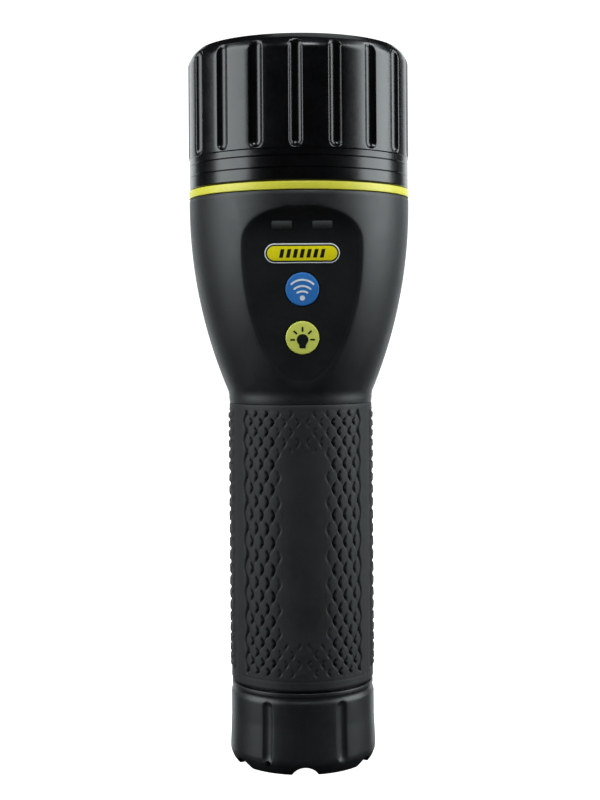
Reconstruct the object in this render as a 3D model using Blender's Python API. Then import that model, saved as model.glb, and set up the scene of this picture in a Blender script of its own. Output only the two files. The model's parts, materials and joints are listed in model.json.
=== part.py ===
"""Hand torch with a radio button, a lamp button and a screw-off head and tail.

Standing on its tail: origin at the bottom centre, +Z up towards the lens, control panel facing -Y.
"""
import math

import bmesh
import bpy
from mathutils import Matrix, Vector

MM = 0.001

# overall
HEAD_RADIUS = 32.5 * MM
TOTAL_HEIGHT = 208.5 * MM
OUTER_STEPS = 48
INNER_STEPS = 32
SMALL_STEPS = 16

# tail cap
TAIL_TOP = 23.3 * MM
TAIL_RIM_DEPTH = 5.0 * MM
TAIL_FLOOR = 2.4 * MM
TAIL_BORE = 19.05 * MM
TAIL_SEAL_BORE = 19.65 * MM
TAIL_SEAL_FLOOR = 21.9 * MM
TAIL_GROOVES = 6
TAIL_GROOVE_WIDTH = 3.2 * MM
TAIL_GROOVE_DEPTH = 0.7 * MM
TAIL_NOTCH_WIDTH = 7.6 * MM
TAIL_NOTCH_HEIGHT = 2.5 * MM
LANYARD_HOLE_RADIUS = 0.9 * MM
LANYARD_HOLE_HEIGHT = 3.0 * MM

# barrel
BARREL_FOOT = 10.0 * MM
BARREL_SHOULDER = 23.6 * MM
TAIL_SPIGOT = 18.1 * MM
GRIP_CORE = 19.0 * MM
GRIP_RADIUS = 20.95 * MM
GRIP_BOTTOM = 23.8 * MM
GRIP_TOP = 104.8 * MM
BORE = 17.2 * MM
WALL = 2.4 * MM
FLARE_ARC = 142.0 * MM
FLARE_CENTRE_R = -109.6 * MM
FLARE_CENTRE_Z = 163.3 * MM
FLARE_BOTTOM = 108.4 * MM
FLARE_STATIONS = 7
BARREL_TOP = 164.75 * MM
HEAD_SPIGOT = 28.9 * MM
HEAD_SPIGOT_TOP = 179.8 * MM
HEAD_SPIGOT_BORE = 27.0 * MM
SINK_LEDGE = 171.3 * MM

# threads
PITCH = 3.0 * MM
OUTSIDE_TURNS = 2.5
INSIDE_TURNS = 1.5
THREAD_STEPS = 24
HEAD_THREAD_START = 171.4 * MM
TAIL_THREAD_START = 11.6 * MM

# head
RING_LOW = 164.95 * MM
RING_HIGH = 167.2 * MM
BEZEL_LOW = 167.4 * MM
HEAD_BORE = 30.2 * MM
HEAD_CHAMFER = 205.0 * MM
HEAD_MOUTH = 27.2 * MM
FLUTES = 18
FLUTE_PHASE = math.radians(-3.4)
FLUTE_WIDTH = 3.9 * MM
FLUTE_DEPTH = 1.25 * MM
FLUTE_BOTTOM = 176.7 * MM
FLUTE_TOP = 206.2 * MM
LENS_RADIUS = 28.9 * MM
LENS_BOTTOM = 202.6 * MM
REFLECTOR_FOCUS = 7.3 * MM
REFLECTOR_VERTEX = 176.0 * MM

# control panel: a tilted flat on the flare that turns outward in an arc at its top
PANEL_DEPTH = 22.3 * MM
PANEL_DEPTH_AT = 113.3 * MM
PANEL_SLOPE = 0.125
PANEL_TILT = math.atan(PANEL_SLOPE)
PANEL_LOW = 106.5 * MM
PANEL_ARC_START = 150.8 * MM
PANEL_ARC = 15.0 * MM
PLATE_THICK = 1.6 * MM
PLATE_SEAT = 1.75 * MM
RADIO_BUTTON_Z = 137.6 * MM
LAMP_BUTTON_Z = 124.0 * MM
BUTTON_RADIUS = 4.7 * MM
NAMEPLATE_Z = 147.6 * MM
NAMEPLATE_SIZE = (21.0 * MM, 5.7 * MM, 0.8 * MM)
WINDOW_Z = 155.4 * MM
WINDOW_X = 5.65 * MM
WINDOW_SIZE = (5.6 * MM, 2.4 * MM, 3.0 * MM)
BOARD_DEPTH = 7.5 * MM
BOARD_THICK = 1.6 * MM
POST_PLACES = ((0.0, 116.6 * MM), (-10.2 * MM, 148.5 * MM), (10.2 * MM, 148.5 * MM))

# battery pack
CELL_RADIUS = 7.0 * MM
CELL_LENGTH = 50.5 * MM
CELL_OFFSET = 7.1 * MM
PACK_BOTTOM = 16.4 * MM
PACK_DISC = 2.0 * MM
PACK_SPAN = 54.6 * MM

BLACK = (0.012, 0.013, 0.014)
COLOURS = {
    "satin_black": (BLACK, 0.32, 0.0),
    "body_black": ((0.03, 0.031, 0.033), 0.5, 0.0),
    "rubber": ((0.022, 0.023, 0.024), 0.75, 0.0),
    "yellow": ((0.86, 0.80, 0.08), 0.45, 0.0),
    "blue": ((0.03, 0.17, 0.46), 0.4, 0.0),
    "lime": ((0.58, 0.62, 0.10), 0.4, 0.0),
    "clear": ((0.9, 0.92, 0.93), 0.05, 0.0),
    "smoky": ((0.10, 0.11, 0.11), 0.12, 0.0),
    "seal": ((0.02, 0.02, 0.02), 0.6, 0.0),
    "chrome": ((0.85, 0.86, 0.88), 0.06, 1.0),
    "aluminium": ((0.62, 0.63, 0.65), 0.35, 1.0),
    "brass": ((0.66, 0.48, 0.20), 0.3, 1.0),
    "steel": ((0.55, 0.56, 0.58), 0.3, 1.0),
    "board_green": ((0.02, 0.16, 0.07), 0.45, 0.0),
    "led_yellow": ((0.9, 0.75, 0.15), 0.4, 0.0),
    "cell_wrap": ((0.09, 0.20, 0.32), 0.35, 0.0),
    "wire_red": ((0.5, 0.02, 0.02), 0.5, 0.0),
}


def clear_scene():
    for obj in list(bpy.data.objects):
        bpy.data.objects.remove(obj, do_unlink=True)


def material(slot):
    if slot in bpy.data.materials:
        return bpy.data.materials[slot]
    colour, roughness, metallic = COLOURS[slot]
    mat = bpy.data.materials.new(slot)
    mat.use_nodes = True
    shader = mat.node_tree.nodes["Principled BSDF"]
    shader.inputs["Base Color"].default_value = (*colour, 1.0)
    shader.inputs["Roughness"].default_value = roughness
    shader.inputs["Metallic"].default_value = metallic
    return mat


def finish_mesh(name, bm, slot=None):
    """Turn a bmesh into a linked object; with no slot it is a hidden cutter."""
    bmesh.ops.remove_doubles(bm, verts=bm.verts, dist=1e-7)
    bmesh.ops.recalc_face_normals(bm, faces=bm.faces)
    mesh = bpy.data.meshes.new(name)
    bm.to_mesh(mesh)
    bm.free()
    obj = bpy.data.objects.new(name, mesh)
    bpy.context.collection.objects.link(obj)
    if slot is None:
        obj.hide_render = True
        obj.display_type = "WIRE"
    else:
        mesh.materials.append(material(slot))
        mesh.shade_smooth()
        mesh.set_sharp_from_angle(angle=math.radians(35))
    return obj


def boolean(target, cutter, operation="DIFFERENCE"):
    mod = target.modifiers.new(f"{operation.lower()}_{cutter.name}", "BOOLEAN")
    mod.operation = operation
    mod.solver = "EXACT"
    mod.object = cutter
    return target


def spin_profile(bm, profile, steps, closed=True):
    verts = [bm.verts.new((r, 0.0, z)) for r, z in profile]
    edges = [bm.edges.new(pair) for pair in zip(verts, verts[1:])]
    if closed:
        edges.append(bm.edges.new((verts[-1], verts[0])))
    bmesh.ops.spin(bm, geom=verts + edges, cent=(0, 0, 0), axis=(0, 0, 1), angle=2 * math.pi,
                   steps=steps, use_merge=True)


def turned(name, profile, slot=None, steps=INNER_STEPS, closed=True):
    """A body of revolution: a closed ring profile, or an open one whose ends lie on the axis."""
    bm = bmesh.new()
    spin_profile(bm, profile, steps, closed)
    return finish_mesh(name, bm, slot)


def disc_profile(radius, low, high, bevel=0.0):
    if bevel == 0.0:
        return [(0, low), (radius, low), (radius, high), (0, high)]
    return [(0, low), (radius - bevel, low), (radius, low + bevel), (radius, high - bevel),
            (radius - bevel, high), (0, high)]


def ring_section(centre_r, centre_z, section, points=6):
    return [(centre_r + section * math.cos(2 * math.pi * i / points),
             centre_z + section * math.sin(2 * math.pi * i / points)) for i in range(points)]


def extruded(name, outline, axis, low, high, slot=None):
    """A flat outline pushed along X (outline in Y, Z) or along Z (outline in X, Y)."""
    bm = bmesh.new()
    if axis == "X":
        verts = [bm.verts.new((low, a, b)) for a, b in outline]
        push = Vector((high - low, 0, 0))
    else:
        verts = [bm.verts.new((a, b, low)) for a, b in outline]
        push = Vector((0, 0, high - low))
    face = bm.faces.new(verts)
    grown = bmesh.ops.extrude_face_region(bm, geom=[face])["geom"]
    bmesh.ops.translate(bm, verts=[g for g in grown if isinstance(g, bmesh.types.BMVert)], vec=push)
    return finish_mesh(name, bm, slot)


def rounded_rectangle(width, height, radius, arc_points=4):
    outline = []
    corners = ((1, 1, 0), (-1, 1, 90), (-1, -1, 180), (1, -1, 270))
    for sx, sy, start in corners:
        for i in range(arc_points + 1):
            angle = math.radians(start + 90 * i / arc_points)
            outline.append((sx * (width / 2 - radius) + radius * math.cos(angle),
                            sy * (height / 2 - radius) + radius * math.sin(angle)))
    return outline


def block(name, size, slot=None, bevel=0.0):
    bm = bmesh.new()
    bmesh.ops.create_cube(bm, size=1.0)
    bmesh.ops.scale(bm, verts=bm.verts, vec=size)
    if bevel:
        bmesh.ops.bevel(bm, geom=list(bm.edges), offset=bevel, segments=1, profile=0.5,
                        affect="EDGES", material=-1)
    return finish_mesh(name, bm, slot)


def polar(radius, angle, z=0.0):
    """A point at an angle from the front (-Y), positive towards +X."""
    return Vector((radius * math.sin(angle), -radius * math.cos(angle), z))


def around(name, count, phase, make_profile, radius, low, steps=10):
    """Upright turned cutters, all in one object, evenly spaced round the axis."""
    bm = bmesh.new()
    for i in range(count):
        piece = bmesh.new()
        spin_profile(piece, make_profile, steps, closed=False)
        bmesh.ops.translate(piece, verts=piece.verts,
                            vec=polar(radius, phase + 2 * math.pi * i / count, low))
        copy = bpy.data.meshes.new("copy")
        bmesh.ops.remove_doubles(piece, verts=piece.verts, dist=1e-7)
        piece.to_mesh(copy)
        piece.free()
        bm.from_mesh(copy)
        bpy.data.meshes.remove(copy)
    return finish_mesh(name, bm)


def capsule_profile(radius, length, arc_points=2):
    """Half outline of an upright rod with rounded ends, foot at z = 0."""
    points = []
    for i in range(arc_points + 1):
        angle = math.pi / 2 * i / arc_points
        points.append((radius * math.sin(angle), radius * (1 - math.cos(angle))))
    top = [(r, length - z) for r, z in reversed(points)]
    return points + top


def groove_rod(surface_radius, width, depth):
    """Radius of the rod that leaves a groove of this width and depth, and its distance from the axis."""
    rod = (width ** 2 / 4 + depth ** 2) / (2 * depth)
    return rod, surface_radius - depth + rod


def helix_sweep(name, section, turns, steps_per_turn, pitch, slot=None):
    """A closed section in the X, Z plane swept round Z and up by one pitch a turn."""
    bm = bmesh.new()
    verts = [bm.verts.new((r, 0.0, z)) for r, z in section]
    face = bm.faces.new(verts)
    steps = round(turns * steps_per_turn)
    bmesh.ops.spin(bm, geom=[face], cent=(0, 0, 0), axis=(0, 0, 1), dvec=(0, 0, pitch / steps_per_turn),
                   angle=turns * 2 * math.pi, steps=steps)
    return finish_mesh(name, bm, slot)


def thread_ridge(name, root, crest, start):
    """A right-hand ridge from just under the root surface to its crest."""
    outside = crest > root
    buried = root - 0.25 * MM if outside else root + 0.25 * MM
    turns = OUTSIDE_TURNS if outside else INSIDE_TURNS
    base, tip = 0.62 * MM, 0.3 * MM
    section = [(buried, start - base), (crest, start - tip), (crest, start + tip), (buried, start + base)]
    return helix_sweep(name, section, turns, THREAD_STEPS, PITCH)


def barrel_radius(z):
    return FLARE_CENTRE_R + math.sqrt(FLARE_ARC ** 2 - (FLARE_CENTRE_Z - z) ** 2)


def flare_points(inset, low, high, count):
    return [(barrel_radius(low + (high - low) * i / count) - inset, low + (high - low) * i / count)
            for i in range(count + 1)]


def panel_point(z, inward=0.0):
    """A point of the flat panel at height z, moved inward along the panel's normal."""
    depth = PANEL_DEPTH + PANEL_SLOPE * (z - PANEL_DEPTH_AT)
    return Vector((0, -depth, z)) + inward * Vector((0, math.cos(PANEL_TILT), math.sin(PANEL_TILT)))


def panel_curve(inward, end_angle=50, steps=6):
    """(y, z) points up the flat and round the arc, moved inward."""
    low = panel_point(PANEL_LOW, inward)
    start = panel_point(PANEL_ARC_START, inward)
    outward = Vector((0, -math.cos(PANEL_TILT), -math.sin(PANEL_TILT)))
    along = Vector((0, -math.sin(PANEL_TILT), math.cos(PANEL_TILT)))
    centre = panel_point(PANEL_ARC_START) + PANEL_ARC * outward
    points = [(low.y, low.z), (start.y, start.z)]
    for i in range(1, steps + 1):
        angle = math.radians(end_angle) * i / steps
        p = centre + (PANEL_ARC + inward) * (math.sin(angle) * along - math.cos(angle) * outward)
        points.append((p.y, p.z))
    return points


def panel_front(name, inward):
    """Everything in front of the panel surface, as a cutter."""
    curve = panel_curve(inward)
    far = -48 * MM
    outline = curve + [(far, curve[-1][1]), (far, curve[0][1])]
    return extruded(name, outline, "X", -40 * MM, 40 * MM)


def panel_band(name, front, back):
    outline = panel_curve(front) + list(reversed(panel_curve(back)))
    return extruded(name, outline, "X", -40 * MM, 40 * MM)


def shrunk_barrel(name, inset, high=165.0 * MM):
    profile = [(0, PANEL_LOW + 1 * MM), (21.4 * MM - inset, PANEL_LOW + 1 * MM)]
    profile += flare_points(inset, FLARE_BOTTOM, high, FLARE_STATIONS) + [(0, high)]
    return turned(name, profile, steps=OUTER_STEPS, closed=False)


def window_place():
    """Centre and X rotation of the indicator windows, on the panel's arc."""
    run = (WINDOW_Z - PANEL_ARC_START) / math.cos(PANEL_TILT)
    angle = math.asin(run / PANEL_ARC)
    outward = Vector((0, -math.cos(PANEL_TILT), -math.sin(PANEL_TILT)))
    along = Vector((0, -math.sin(PANEL_TILT), math.cos(PANEL_TILT)))
    centre = panel_point(PANEL_ARC_START) + PANEL_ARC * outward
    return centre + PANEL_ARC * (math.sin(angle) * along - math.cos(angle) * outward), angle


def on_panel(obj, frame, x, z, inward=0.0):
    """Parent to the panel frame: local +Z points out of the panel, local +Y up along it."""
    obj.parent = frame
    obj.location = (x, (z - RADIO_BUTTON_Z) / math.cos(PANEL_TILT), -inward)
    return obj


def panel_frame():
    frame = bpy.data.objects.new("panel_frame", None)
    frame.location = panel_point(RADIO_BUTTON_Z)
    frame.rotation_euler = (math.pi / 2 + PANEL_TILT, 0, 0)
    bpy.context.collection.objects.link(frame)
    return frame


def main_housing():
    outer = [(0, BARREL_FOOT), (TAIL_SPIGOT - 0.5 * MM, BARREL_FOOT), (TAIL_SPIGOT, BARREL_FOOT + 0.5 * MM),
             (TAIL_SPIGOT, BARREL_SHOULDER), (GRIP_CORE, BARREL_SHOULDER), (GRIP_CORE, GRIP_TOP + 0.2 * MM),
             (21.05 * MM, GRIP_TOP + 0.2 * MM), (21.15 * MM, 107.3 * MM)]
    outer += flare_points(0, FLARE_BOTTOM, BARREL_TOP, FLARE_STATIONS)
    outer += [(HEAD_SPIGOT, BARREL_TOP), (HEAD_SPIGOT, 168.0 * MM), (27.9 * MM, 168.0 * MM),
              (27.9 * MM, 170.0 * MM), (HEAD_SPIGOT, 170.0 * MM), (HEAD_SPIGOT, HEAD_SPIGOT_TOP - 0.5 * MM),
              (HEAD_SPIGOT - 0.5 * MM, HEAD_SPIGOT_TOP), (0, HEAD_SPIGOT_TOP)]
    housing = turned("main_housing", outer, "body_black", OUTER_STEPS, closed=False)

    cavity = [(0, 8 * MM), (BORE, 8 * MM), (BORE, 87.4 * MM), (15.5 * MM, 87.4 * MM), (15.5 * MM, 89.4 * MM),
              (BORE, 91 * MM), (BORE, 104 * MM)]
    cavity += flare_points(WALL, 112 * MM, 163 * MM, 4)
    cavity += [(25.5 * MM, 168.4 * MM), (25.5 * MM, SINK_LEDGE), (HEAD_SPIGOT_BORE, SINK_LEDGE),
               (HEAD_SPIGOT_BORE, 182 * MM), (0, 182 * MM)]
    void = turned("cavity", cavity, closed=False)
    boolean(void, panel_front("cavity_front", 3.6 * MM))

    boolean(housing, panel_front("panel_flat", 0))
    recess = boolean(shrunk_barrel("plate_recess", 0.6 * MM), panel_band("recess_band", -20 * MM, PLATE_SEAT),
                     "INTERSECT")
    boolean(housing, recess)
    boolean(housing, boolean(shrunk_barrel("panel_opening", 2.6 * MM, 159 * MM),
                             panel_band("opening_band", 1.0 * MM, 7 * MM), "INTERSECT"))
    boolean(housing, void)
    boolean(housing, thread_ridge("head_thread", HEAD_SPIGOT, 29.9 * MM, HEAD_THREAD_START - 0.4 * MM), "UNION")
    boolean(housing, thread_ridge("tail_thread", TAIL_SPIGOT, 18.75 * MM, TAIL_THREAD_START), "UNION")
    return housing


def grip_sleeve():
    inner = GRIP_CORE + 0.3 * MM
    profile = [(inner, GRIP_BOTTOM), (GRIP_RADIUS - 0.45 * MM, GRIP_BOTTOM),
               (GRIP_RADIUS - 0.1 * MM, GRIP_BOTTOM + 0.4 * MM),
               (GRIP_RADIUS, 46 * MM), (GRIP_RADIUS + 0.1 * MM, GRIP_TOP - 0.4 * MM),
               (GRIP_RADIUS - 0.3 * MM, GRIP_TOP), (inner, GRIP_TOP)]
    return turned("grip_sleeve", profile, "rubber", OUTER_STEPS)


def accent_ring():
    inner = 29.3 * MM
    profile = [(inner, RING_LOW), (HEAD_RADIUS, RING_LOW), (HEAD_RADIUS, RING_HIGH), (inner, RING_HIGH)]
    return turned("accent_ring", profile, "yellow", OUTER_STEPS)


def face_plate(frame):
    band = panel_band("plate_band", 0, PLATE_THICK)
    plate = boolean(shrunk_barrel("face_plate", 0.72 * MM), band, "INTERSECT")
    plate.hide_render = False
    plate.display_type = "TEXTURED"
    plate.data.materials.append(material("satin_black"))
    plate.data.shade_smooth()
    plate.data.set_sharp_from_angle(angle=math.radians(35))
    for z, tag in ((RADIO_BUTTON_Z, "radio"), (LAMP_BUTTON_Z, "lamp")):
        hole = turned(f"{tag}_button_hole", disc_profile(4.95 * MM, -3 * MM, 3 * MM), steps=32, closed=False)
        boolean(plate, on_panel(hole, frame, 0, z))
    width, height, thick = NAMEPLATE_SIZE
    seat = extruded("nameplate_seat", rounded_rectangle(width + 0.5 * MM, height + 0.5 * MM, 3.1 * MM), "Z",
                    -thick, 3 * MM)
    boolean(plate, on_panel(seat, frame, 0, NAMEPLATE_Z))
    centre, angle = window_place()
    for side in (-1, 1):
        slot = block(f"window_slot_{side}", (WINDOW_SIZE[0] + 0.4 * MM, WINDOW_SIZE[1] + 0.4 * MM, 12 * MM))
        slot.location = centre + Vector((side * WINDOW_X, 0, 0))
        slot.rotation_euler = (math.pi / 2 + PANEL_TILT + angle, 0, 0)
        boolean(plate, slot)
    for i, (x, z) in enumerate(POST_PLACES):
        post = turned(f"post_{i}", [(0, -PLATE_THICK + 0.4 * MM), (1.75 * MM, -PLATE_THICK + 0.4 * MM),
                                    (1.75 * MM, -BOARD_DEPTH + 0.15 * MM), (1.0 * MM, -BOARD_DEPTH + 0.15 * MM),
                                    (1.0 * MM, -3.4 * MM), (0, -3.4 * MM)], steps=12, closed=False)
        boolean(plate, on_panel(post, frame, x, z), "UNION")
    return plate


def nameplate(frame):
    width, height, thick = NAMEPLATE_SIZE
    plate = extruded("nameplate", rounded_rectangle(width, height, height / 2 - 0.01 * MM), "Z",
                     -thick + 0.15 * MM, 0.2 * MM, "yellow")
    on_panel(plate, frame, 0, NAMEPLATE_Z)


def indicator_windows():
    centre, angle = window_place()
    width, height, deep = WINDOW_SIZE
    for side, tag in ((-1, "left"), (1, "right")):
        window = block(f"indicator_window_{tag}", WINDOW_SIZE, "smoky", bevel=0.15 * MM)
        tilt = math.pi / 2 + PANEL_TILT + angle
        inward = Vector((0, math.sin(tilt), -math.cos(tilt)))
        window.location = centre + Vector((side * WINDOW_X, 0, 0)) + inward * (deep / 2 - 0.05 * MM)
        window.rotation_euler = (tilt, 0, 0)


def button(frame, tag, z, slot):
    """A captive key: face through the plate, flange behind it, stem down to the switch."""
    flange, stem = 5.6 * MM, 1.5 * MM
    profile = [(0, 0.35 * MM), (BUTTON_RADIUS - 0.3 * MM, 0.35 * MM), (BUTTON_RADIUS, 0.1 * MM),
               (BUTTON_RADIUS, -1.8 * MM), (flange, -1.8 * MM), (flange, -2.6 * MM), (stem, -2.6 * MM),
               (stem, -3.7 * MM), (0, -3.7 * MM)]
    on_panel(turned(f"{tag}_button", profile, slot, 24, closed=False), frame, 0, z)

    plunger = [(0, -3.9 * MM), (1.5 * MM, -3.9 * MM), (1.5 * MM, -6.3 * MM), (0, -6.3 * MM)]
    on_panel(turned(f"{tag}_switch_plunger", plunger, "satin_black", 12, closed=False), frame, 0, z)

    body = block(f"{tag}_switch_body", (6 * MM, 6 * MM, 2.2 * MM), "steel")
    hole = turned(f"{tag}_switch_hole", disc_profile(1.9 * MM, -0.8 * MM, 3 * MM), steps=12, closed=False)
    hole.parent = body
    boolean(body, hole)
    on_panel(body, frame, 0, z, 6.2 * MM)


def main_board(frame):
    """Tapered circuit board behind the panel, held by screws in the plate's posts."""
    low, high = 114.6 * MM, 158.0 * MM
    outline = [(-5.5 * MM, low), (5.5 * MM, low), (13 * MM, 136 * MM), (13 * MM, high), (-13 * MM, high),
               (-13 * MM, 136 * MM)]
    local = [(x, (z - RADIO_BUTTON_Z) / math.cos(PANEL_TILT)) for x, z in outline]
    board = extruded("main_board", local, "Z", -BOARD_THICK, 0, "board_green")
    on_panel(board, frame, 0, RADIO_BUTTON_Z, BOARD_DEPTH)
    for i, (x, z) in enumerate(POST_PLACES):
        hole = turned(f"board_hole_{i}", disc_profile(1.2 * MM, -4 * MM, 4 * MM), steps=12, closed=False)
        boolean(board, on_panel(hole, frame, x, z, BOARD_DEPTH))
        back = -BOARD_DEPTH - BOARD_THICK
        screw = [(0, back - 1.4 * MM), (1.5 * MM, back - 1.4 * MM), (1.9 * MM, back - 0.9 * MM),
                 (1.9 * MM, back - 0.15 * MM), (0.85 * MM, back - 0.15 * MM), (0.85 * MM, -4.2 * MM),
                 (0, -3.8 * MM)]
        on_panel(turned(f"board_screw_{i + 1}", screw, "steel", 12, closed=False), frame, x, z)


def board_parts(frame):
    back = BOARD_DEPTH + BOARD_THICK
    radio = block("radio_module", (15 * MM, 18 * MM, 2.4 * MM), "steel", bevel=0.3 * MM)
    on_panel(radio, frame, 0, 138.0 * MM, back + 1.4 * MM)
    for side, tag in ((-1, "left"), (1, "right")):
        led = block(f"indicator_led_{tag}", (3.2 * MM, 1.6 * MM, 1.2 * MM), "led_yellow")
        on_panel(led, frame, side * WINDOW_X, 154.6 * MM, BOARD_DEPTH - 0.8 * MM)


def coil(name, low, high, coil_radius, wire, turns, slot, steps_per_turn=10, sides=5):
    turn = 2 * math.pi / sides
    section = [(coil_radius + wire * math.cos(turn * i), low + wire + wire * math.sin(turn * i))
               for i in range(sides)]
    return helix_sweep(name, section, turns, steps_per_turn, (high - low - 2 * wire) / turns, slot)


def battery_pack():
    disc = PACK_BOTTOM + PACK_DISC
    top = disc + PACK_SPAN
    lower = disc_profile(16.9 * MM, PACK_BOTTOM, disc, 0.4 * MM)[:-1]
    upper = disc_profile(16.9 * MM, top, top + PACK_DISC, 0.4 * MM)[1:]
    spine = [(2.4 * MM, disc), (2.4 * MM, top)]
    turned("battery_carrier", lower + spine + upper, "satin_black", 24, closed=False)
    turned("pack_tail_contact", [(0, PACK_BOTTOM - 0.8 * MM), (6 * MM, PACK_BOTTOM - 0.8 * MM),
                                 (6 * MM, PACK_BOTTOM - 0.2 * MM), (0, PACK_BOTTOM - 0.2 * MM)], "brass", 24, False)
    turned("pack_nose_contact", [(0, top + PACK_DISC + 0.2 * MM), (5 * MM, top + PACK_DISC + 0.2 * MM),
                                 (5 * MM, top + PACK_DISC + 0.7 * MM), (2.5 * MM, top + PACK_DISC + 1.2 * MM),
                                 (0, top + PACK_DISC + 1.2 * MM)], "brass", 24, False)
    for i in range(4):
        x = CELL_OFFSET * (1 if i in (0, 3) else -1)
        y = CELL_OFFSET * (1 if i < 2 else -1)
        up = i % 2 == 0
        nub = 2.7 * MM
        cell = turned(f"cell_{i + 1}", [(0, 0), (CELL_RADIUS - 0.5 * MM, 0), (CELL_RADIUS, 0.5 * MM),
                                        (CELL_RADIUS, CELL_LENGTH - 1.6 * MM),
                                        (CELL_RADIUS - 0.6 * MM, CELL_LENGTH - 1.0 * MM),
                                         (nub, CELL_LENGTH - 1.0 * MM),
                                        (nub, CELL_LENGTH), (0, CELL_LENGTH)], "cell_wrap", SMALL_STEPS, False)
        cell.location = (x, y, disc + 3.2 * MM) if up else (x, y, disc + 0.9 * MM + CELL_LENGTH)
        cell.rotation_euler = (0, 0, 0) if up else (math.pi, 0, 0)
        plate = block(f"cell_plate_{i + 1}", (8 * MM, 8 * MM, 0.5 * MM), "brass")
        plate.location = (x, y, top - 0.45 * MM if up else disc + 0.45 * MM)
        spring = coil(f"cell_spring_{i + 1}", 0, 2.8 * MM, 3.6 * MM, 0.4 * MM, 1.75, "steel")
        spring.location = (x, y, disc + 0.2 * MM if up else top - 3.0 * MM)


def contact_board():
    """Round board at the top of the pack's bore, seated under the barrel's inner ledge."""
    turned("contact_board", disc_profile(16.9 * MM, 85.6 * MM, 87.2 * MM), "board_green", closed=False)
    coil("pack_spring", 76.6 * MM, 85.4 * MM, 3.6 * MM, 0.5 * MM, 3.0, "steel")


def smooth_route(points, per_span=3):
    """Catmull-Rom points through a short list of hand-placed ones."""
    pts = [Vector(p) for p in points]
    pts = [2 * pts[0] - pts[1]] + pts + [2 * pts[-1] - pts[-2]]
    route = []
    for a, b, c, d in zip(pts, pts[1:], pts[2:], pts[3:]):
        for i in range(per_span):
            t = i / per_span
            route.append(0.5 * ((2 * b) + (c - a) * t + (2 * a - 5 * b + 4 * c - d) * t ** 2
                                + (3 * b - a - 3 * c + d) * t ** 3))
    return route + [pts[-2]]


def wire(name, points, slot, radius=0.6 * MM):
    route = smooth_route([Vector(p) * MM for p in points])
    curve = bpy.data.curves.new(name, "CURVE")
    curve.dimensions = "3D"
    curve.bevel_depth = radius
    curve.bevel_resolution = 1
    curve.use_fill_caps = True
    spline = curve.splines.new("POLY")
    spline.points.add(len(route) - 1)
    for point, place in zip(spline.points, route):
        point.co = (*place, 1.0)
    obj = bpy.data.objects.new(name, curve)
    bpy.context.collection.objects.link(obj)
    curve.materials.append(material(slot))


def wires():
    for side, tag, slot in ((-1, "red", "wire_red"), (1, "black", "seal")):
        wire(f"battery_wire_{tag}", [(side * 8, 4, 87.6), (side * 8, 4, 96), (side * 6, 0, 106), (side * 4, -7, 114),
                                     (side * 4, -12.6, 119)], slot)
        wire(f"led_wire_{tag}", [(side * 10, -14.4, 153), (side * 11, -9, 157.5), (side * 13, -1, 163), (side * 13, 0, 169),
                                 (side * 13, 0, 174.2), (side * 12, 0, 176), (side * 10.1, 0, 176.3)], slot)


def heat_sink():
    profile = [(0, 158.5 * MM), (7 * MM, 158.5 * MM), (7 * MM, 161 * MM), (10.5 * MM, 161 * MM), (10.5 * MM, 162.4 * MM),
               (7 * MM, 162.4 * MM), (7 * MM, 164.4 * MM), (10.5 * MM, 164.4 * MM), (10.5 * MM, 165.8 * MM),
               (7 * MM, 165.8 * MM), (7 * MM, 167.8 * MM), (10.5 * MM, 167.8 * MM), (10.5 * MM, 169.2 * MM),
               (7 * MM, 169.2 * MM), (7 * MM, SINK_LEDGE + 0.2 * MM), (26.7 * MM, SINK_LEDGE + 0.2 * MM),
               (26.7 * MM, 174.4 * MM), (0, 174.4 * MM)]
    sink = turned("heat_sink", profile, "aluminium", 24, closed=False)
    for side in (-1, 1):
        hole = turned(f"wire_hole_{side}", disc_profile(1.3 * MM, 160 * MM, 180 * MM), steps=12, closed=False)
        hole.location.x = side * 13 * MM
        boolean(sink, hole)


def lamp():
    turned("led_board", disc_profile(9.5 * MM, 174.6 * MM, 176.2 * MM), "aluminium", 24, closed=False)
    dome = [(2.2 * MM * math.cos(a), 177.1 * MM + 2.2 * MM * math.sin(a)) for a in (0, 0.4, 0.8, 1.2)]
    turned("led_emitter", [(0, 176.4 * MM), (3.2 * MM, 176.4 * MM), (3.2 * MM, 177.1 * MM)] + dome
           + [(0, 179.3 * MM)], "led_yellow", SMALL_STEPS, closed=False)


def reflector():
    """A paraboloid with its focus at the emitter, and a flange under the lens."""
    def height(r):
        return REFLECTOR_VERTEX + r ** 2 / (4 * REFLECTOR_FOCUS)
    radii = [(5.2 + (27.2 - 5.2) * i / 5) * MM for i in range(6)]
    bowl = [(r, height(r)) for r in radii]
    thick = 1.1 * MM
    rim = bowl[-1][1]
    back = [(r + thick * 0.75, height(r) - thick * 0.65) for r in reversed(radii[:-1])]
    flange = [(28.7 * MM, rim + 0.3 * MM), (28.7 * MM, rim - 1.0 * MM), (27.9 * MM, rim - 1.4 * MM)]
    turned("reflector", bowl + [(27.6 * MM, rim + 0.3 * MM)] + flange + back, "chrome")


def lens():
    disc = disc_profile(LENS_RADIUS, LENS_BOTTOM, LENS_BOTTOM + 2 * MM, 0.2 * MM)
    turned("front_lens", disc, "clear", closed=False)
    low = LENS_BOTTOM + 2.15 * MM
    high = low + 0.7 * MM
    turned("lens_gasket", [(27.4 * MM, low), (LENS_RADIUS, low), (LENS_RADIUS, high), (27.4 * MM, high)], "seal")


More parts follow.
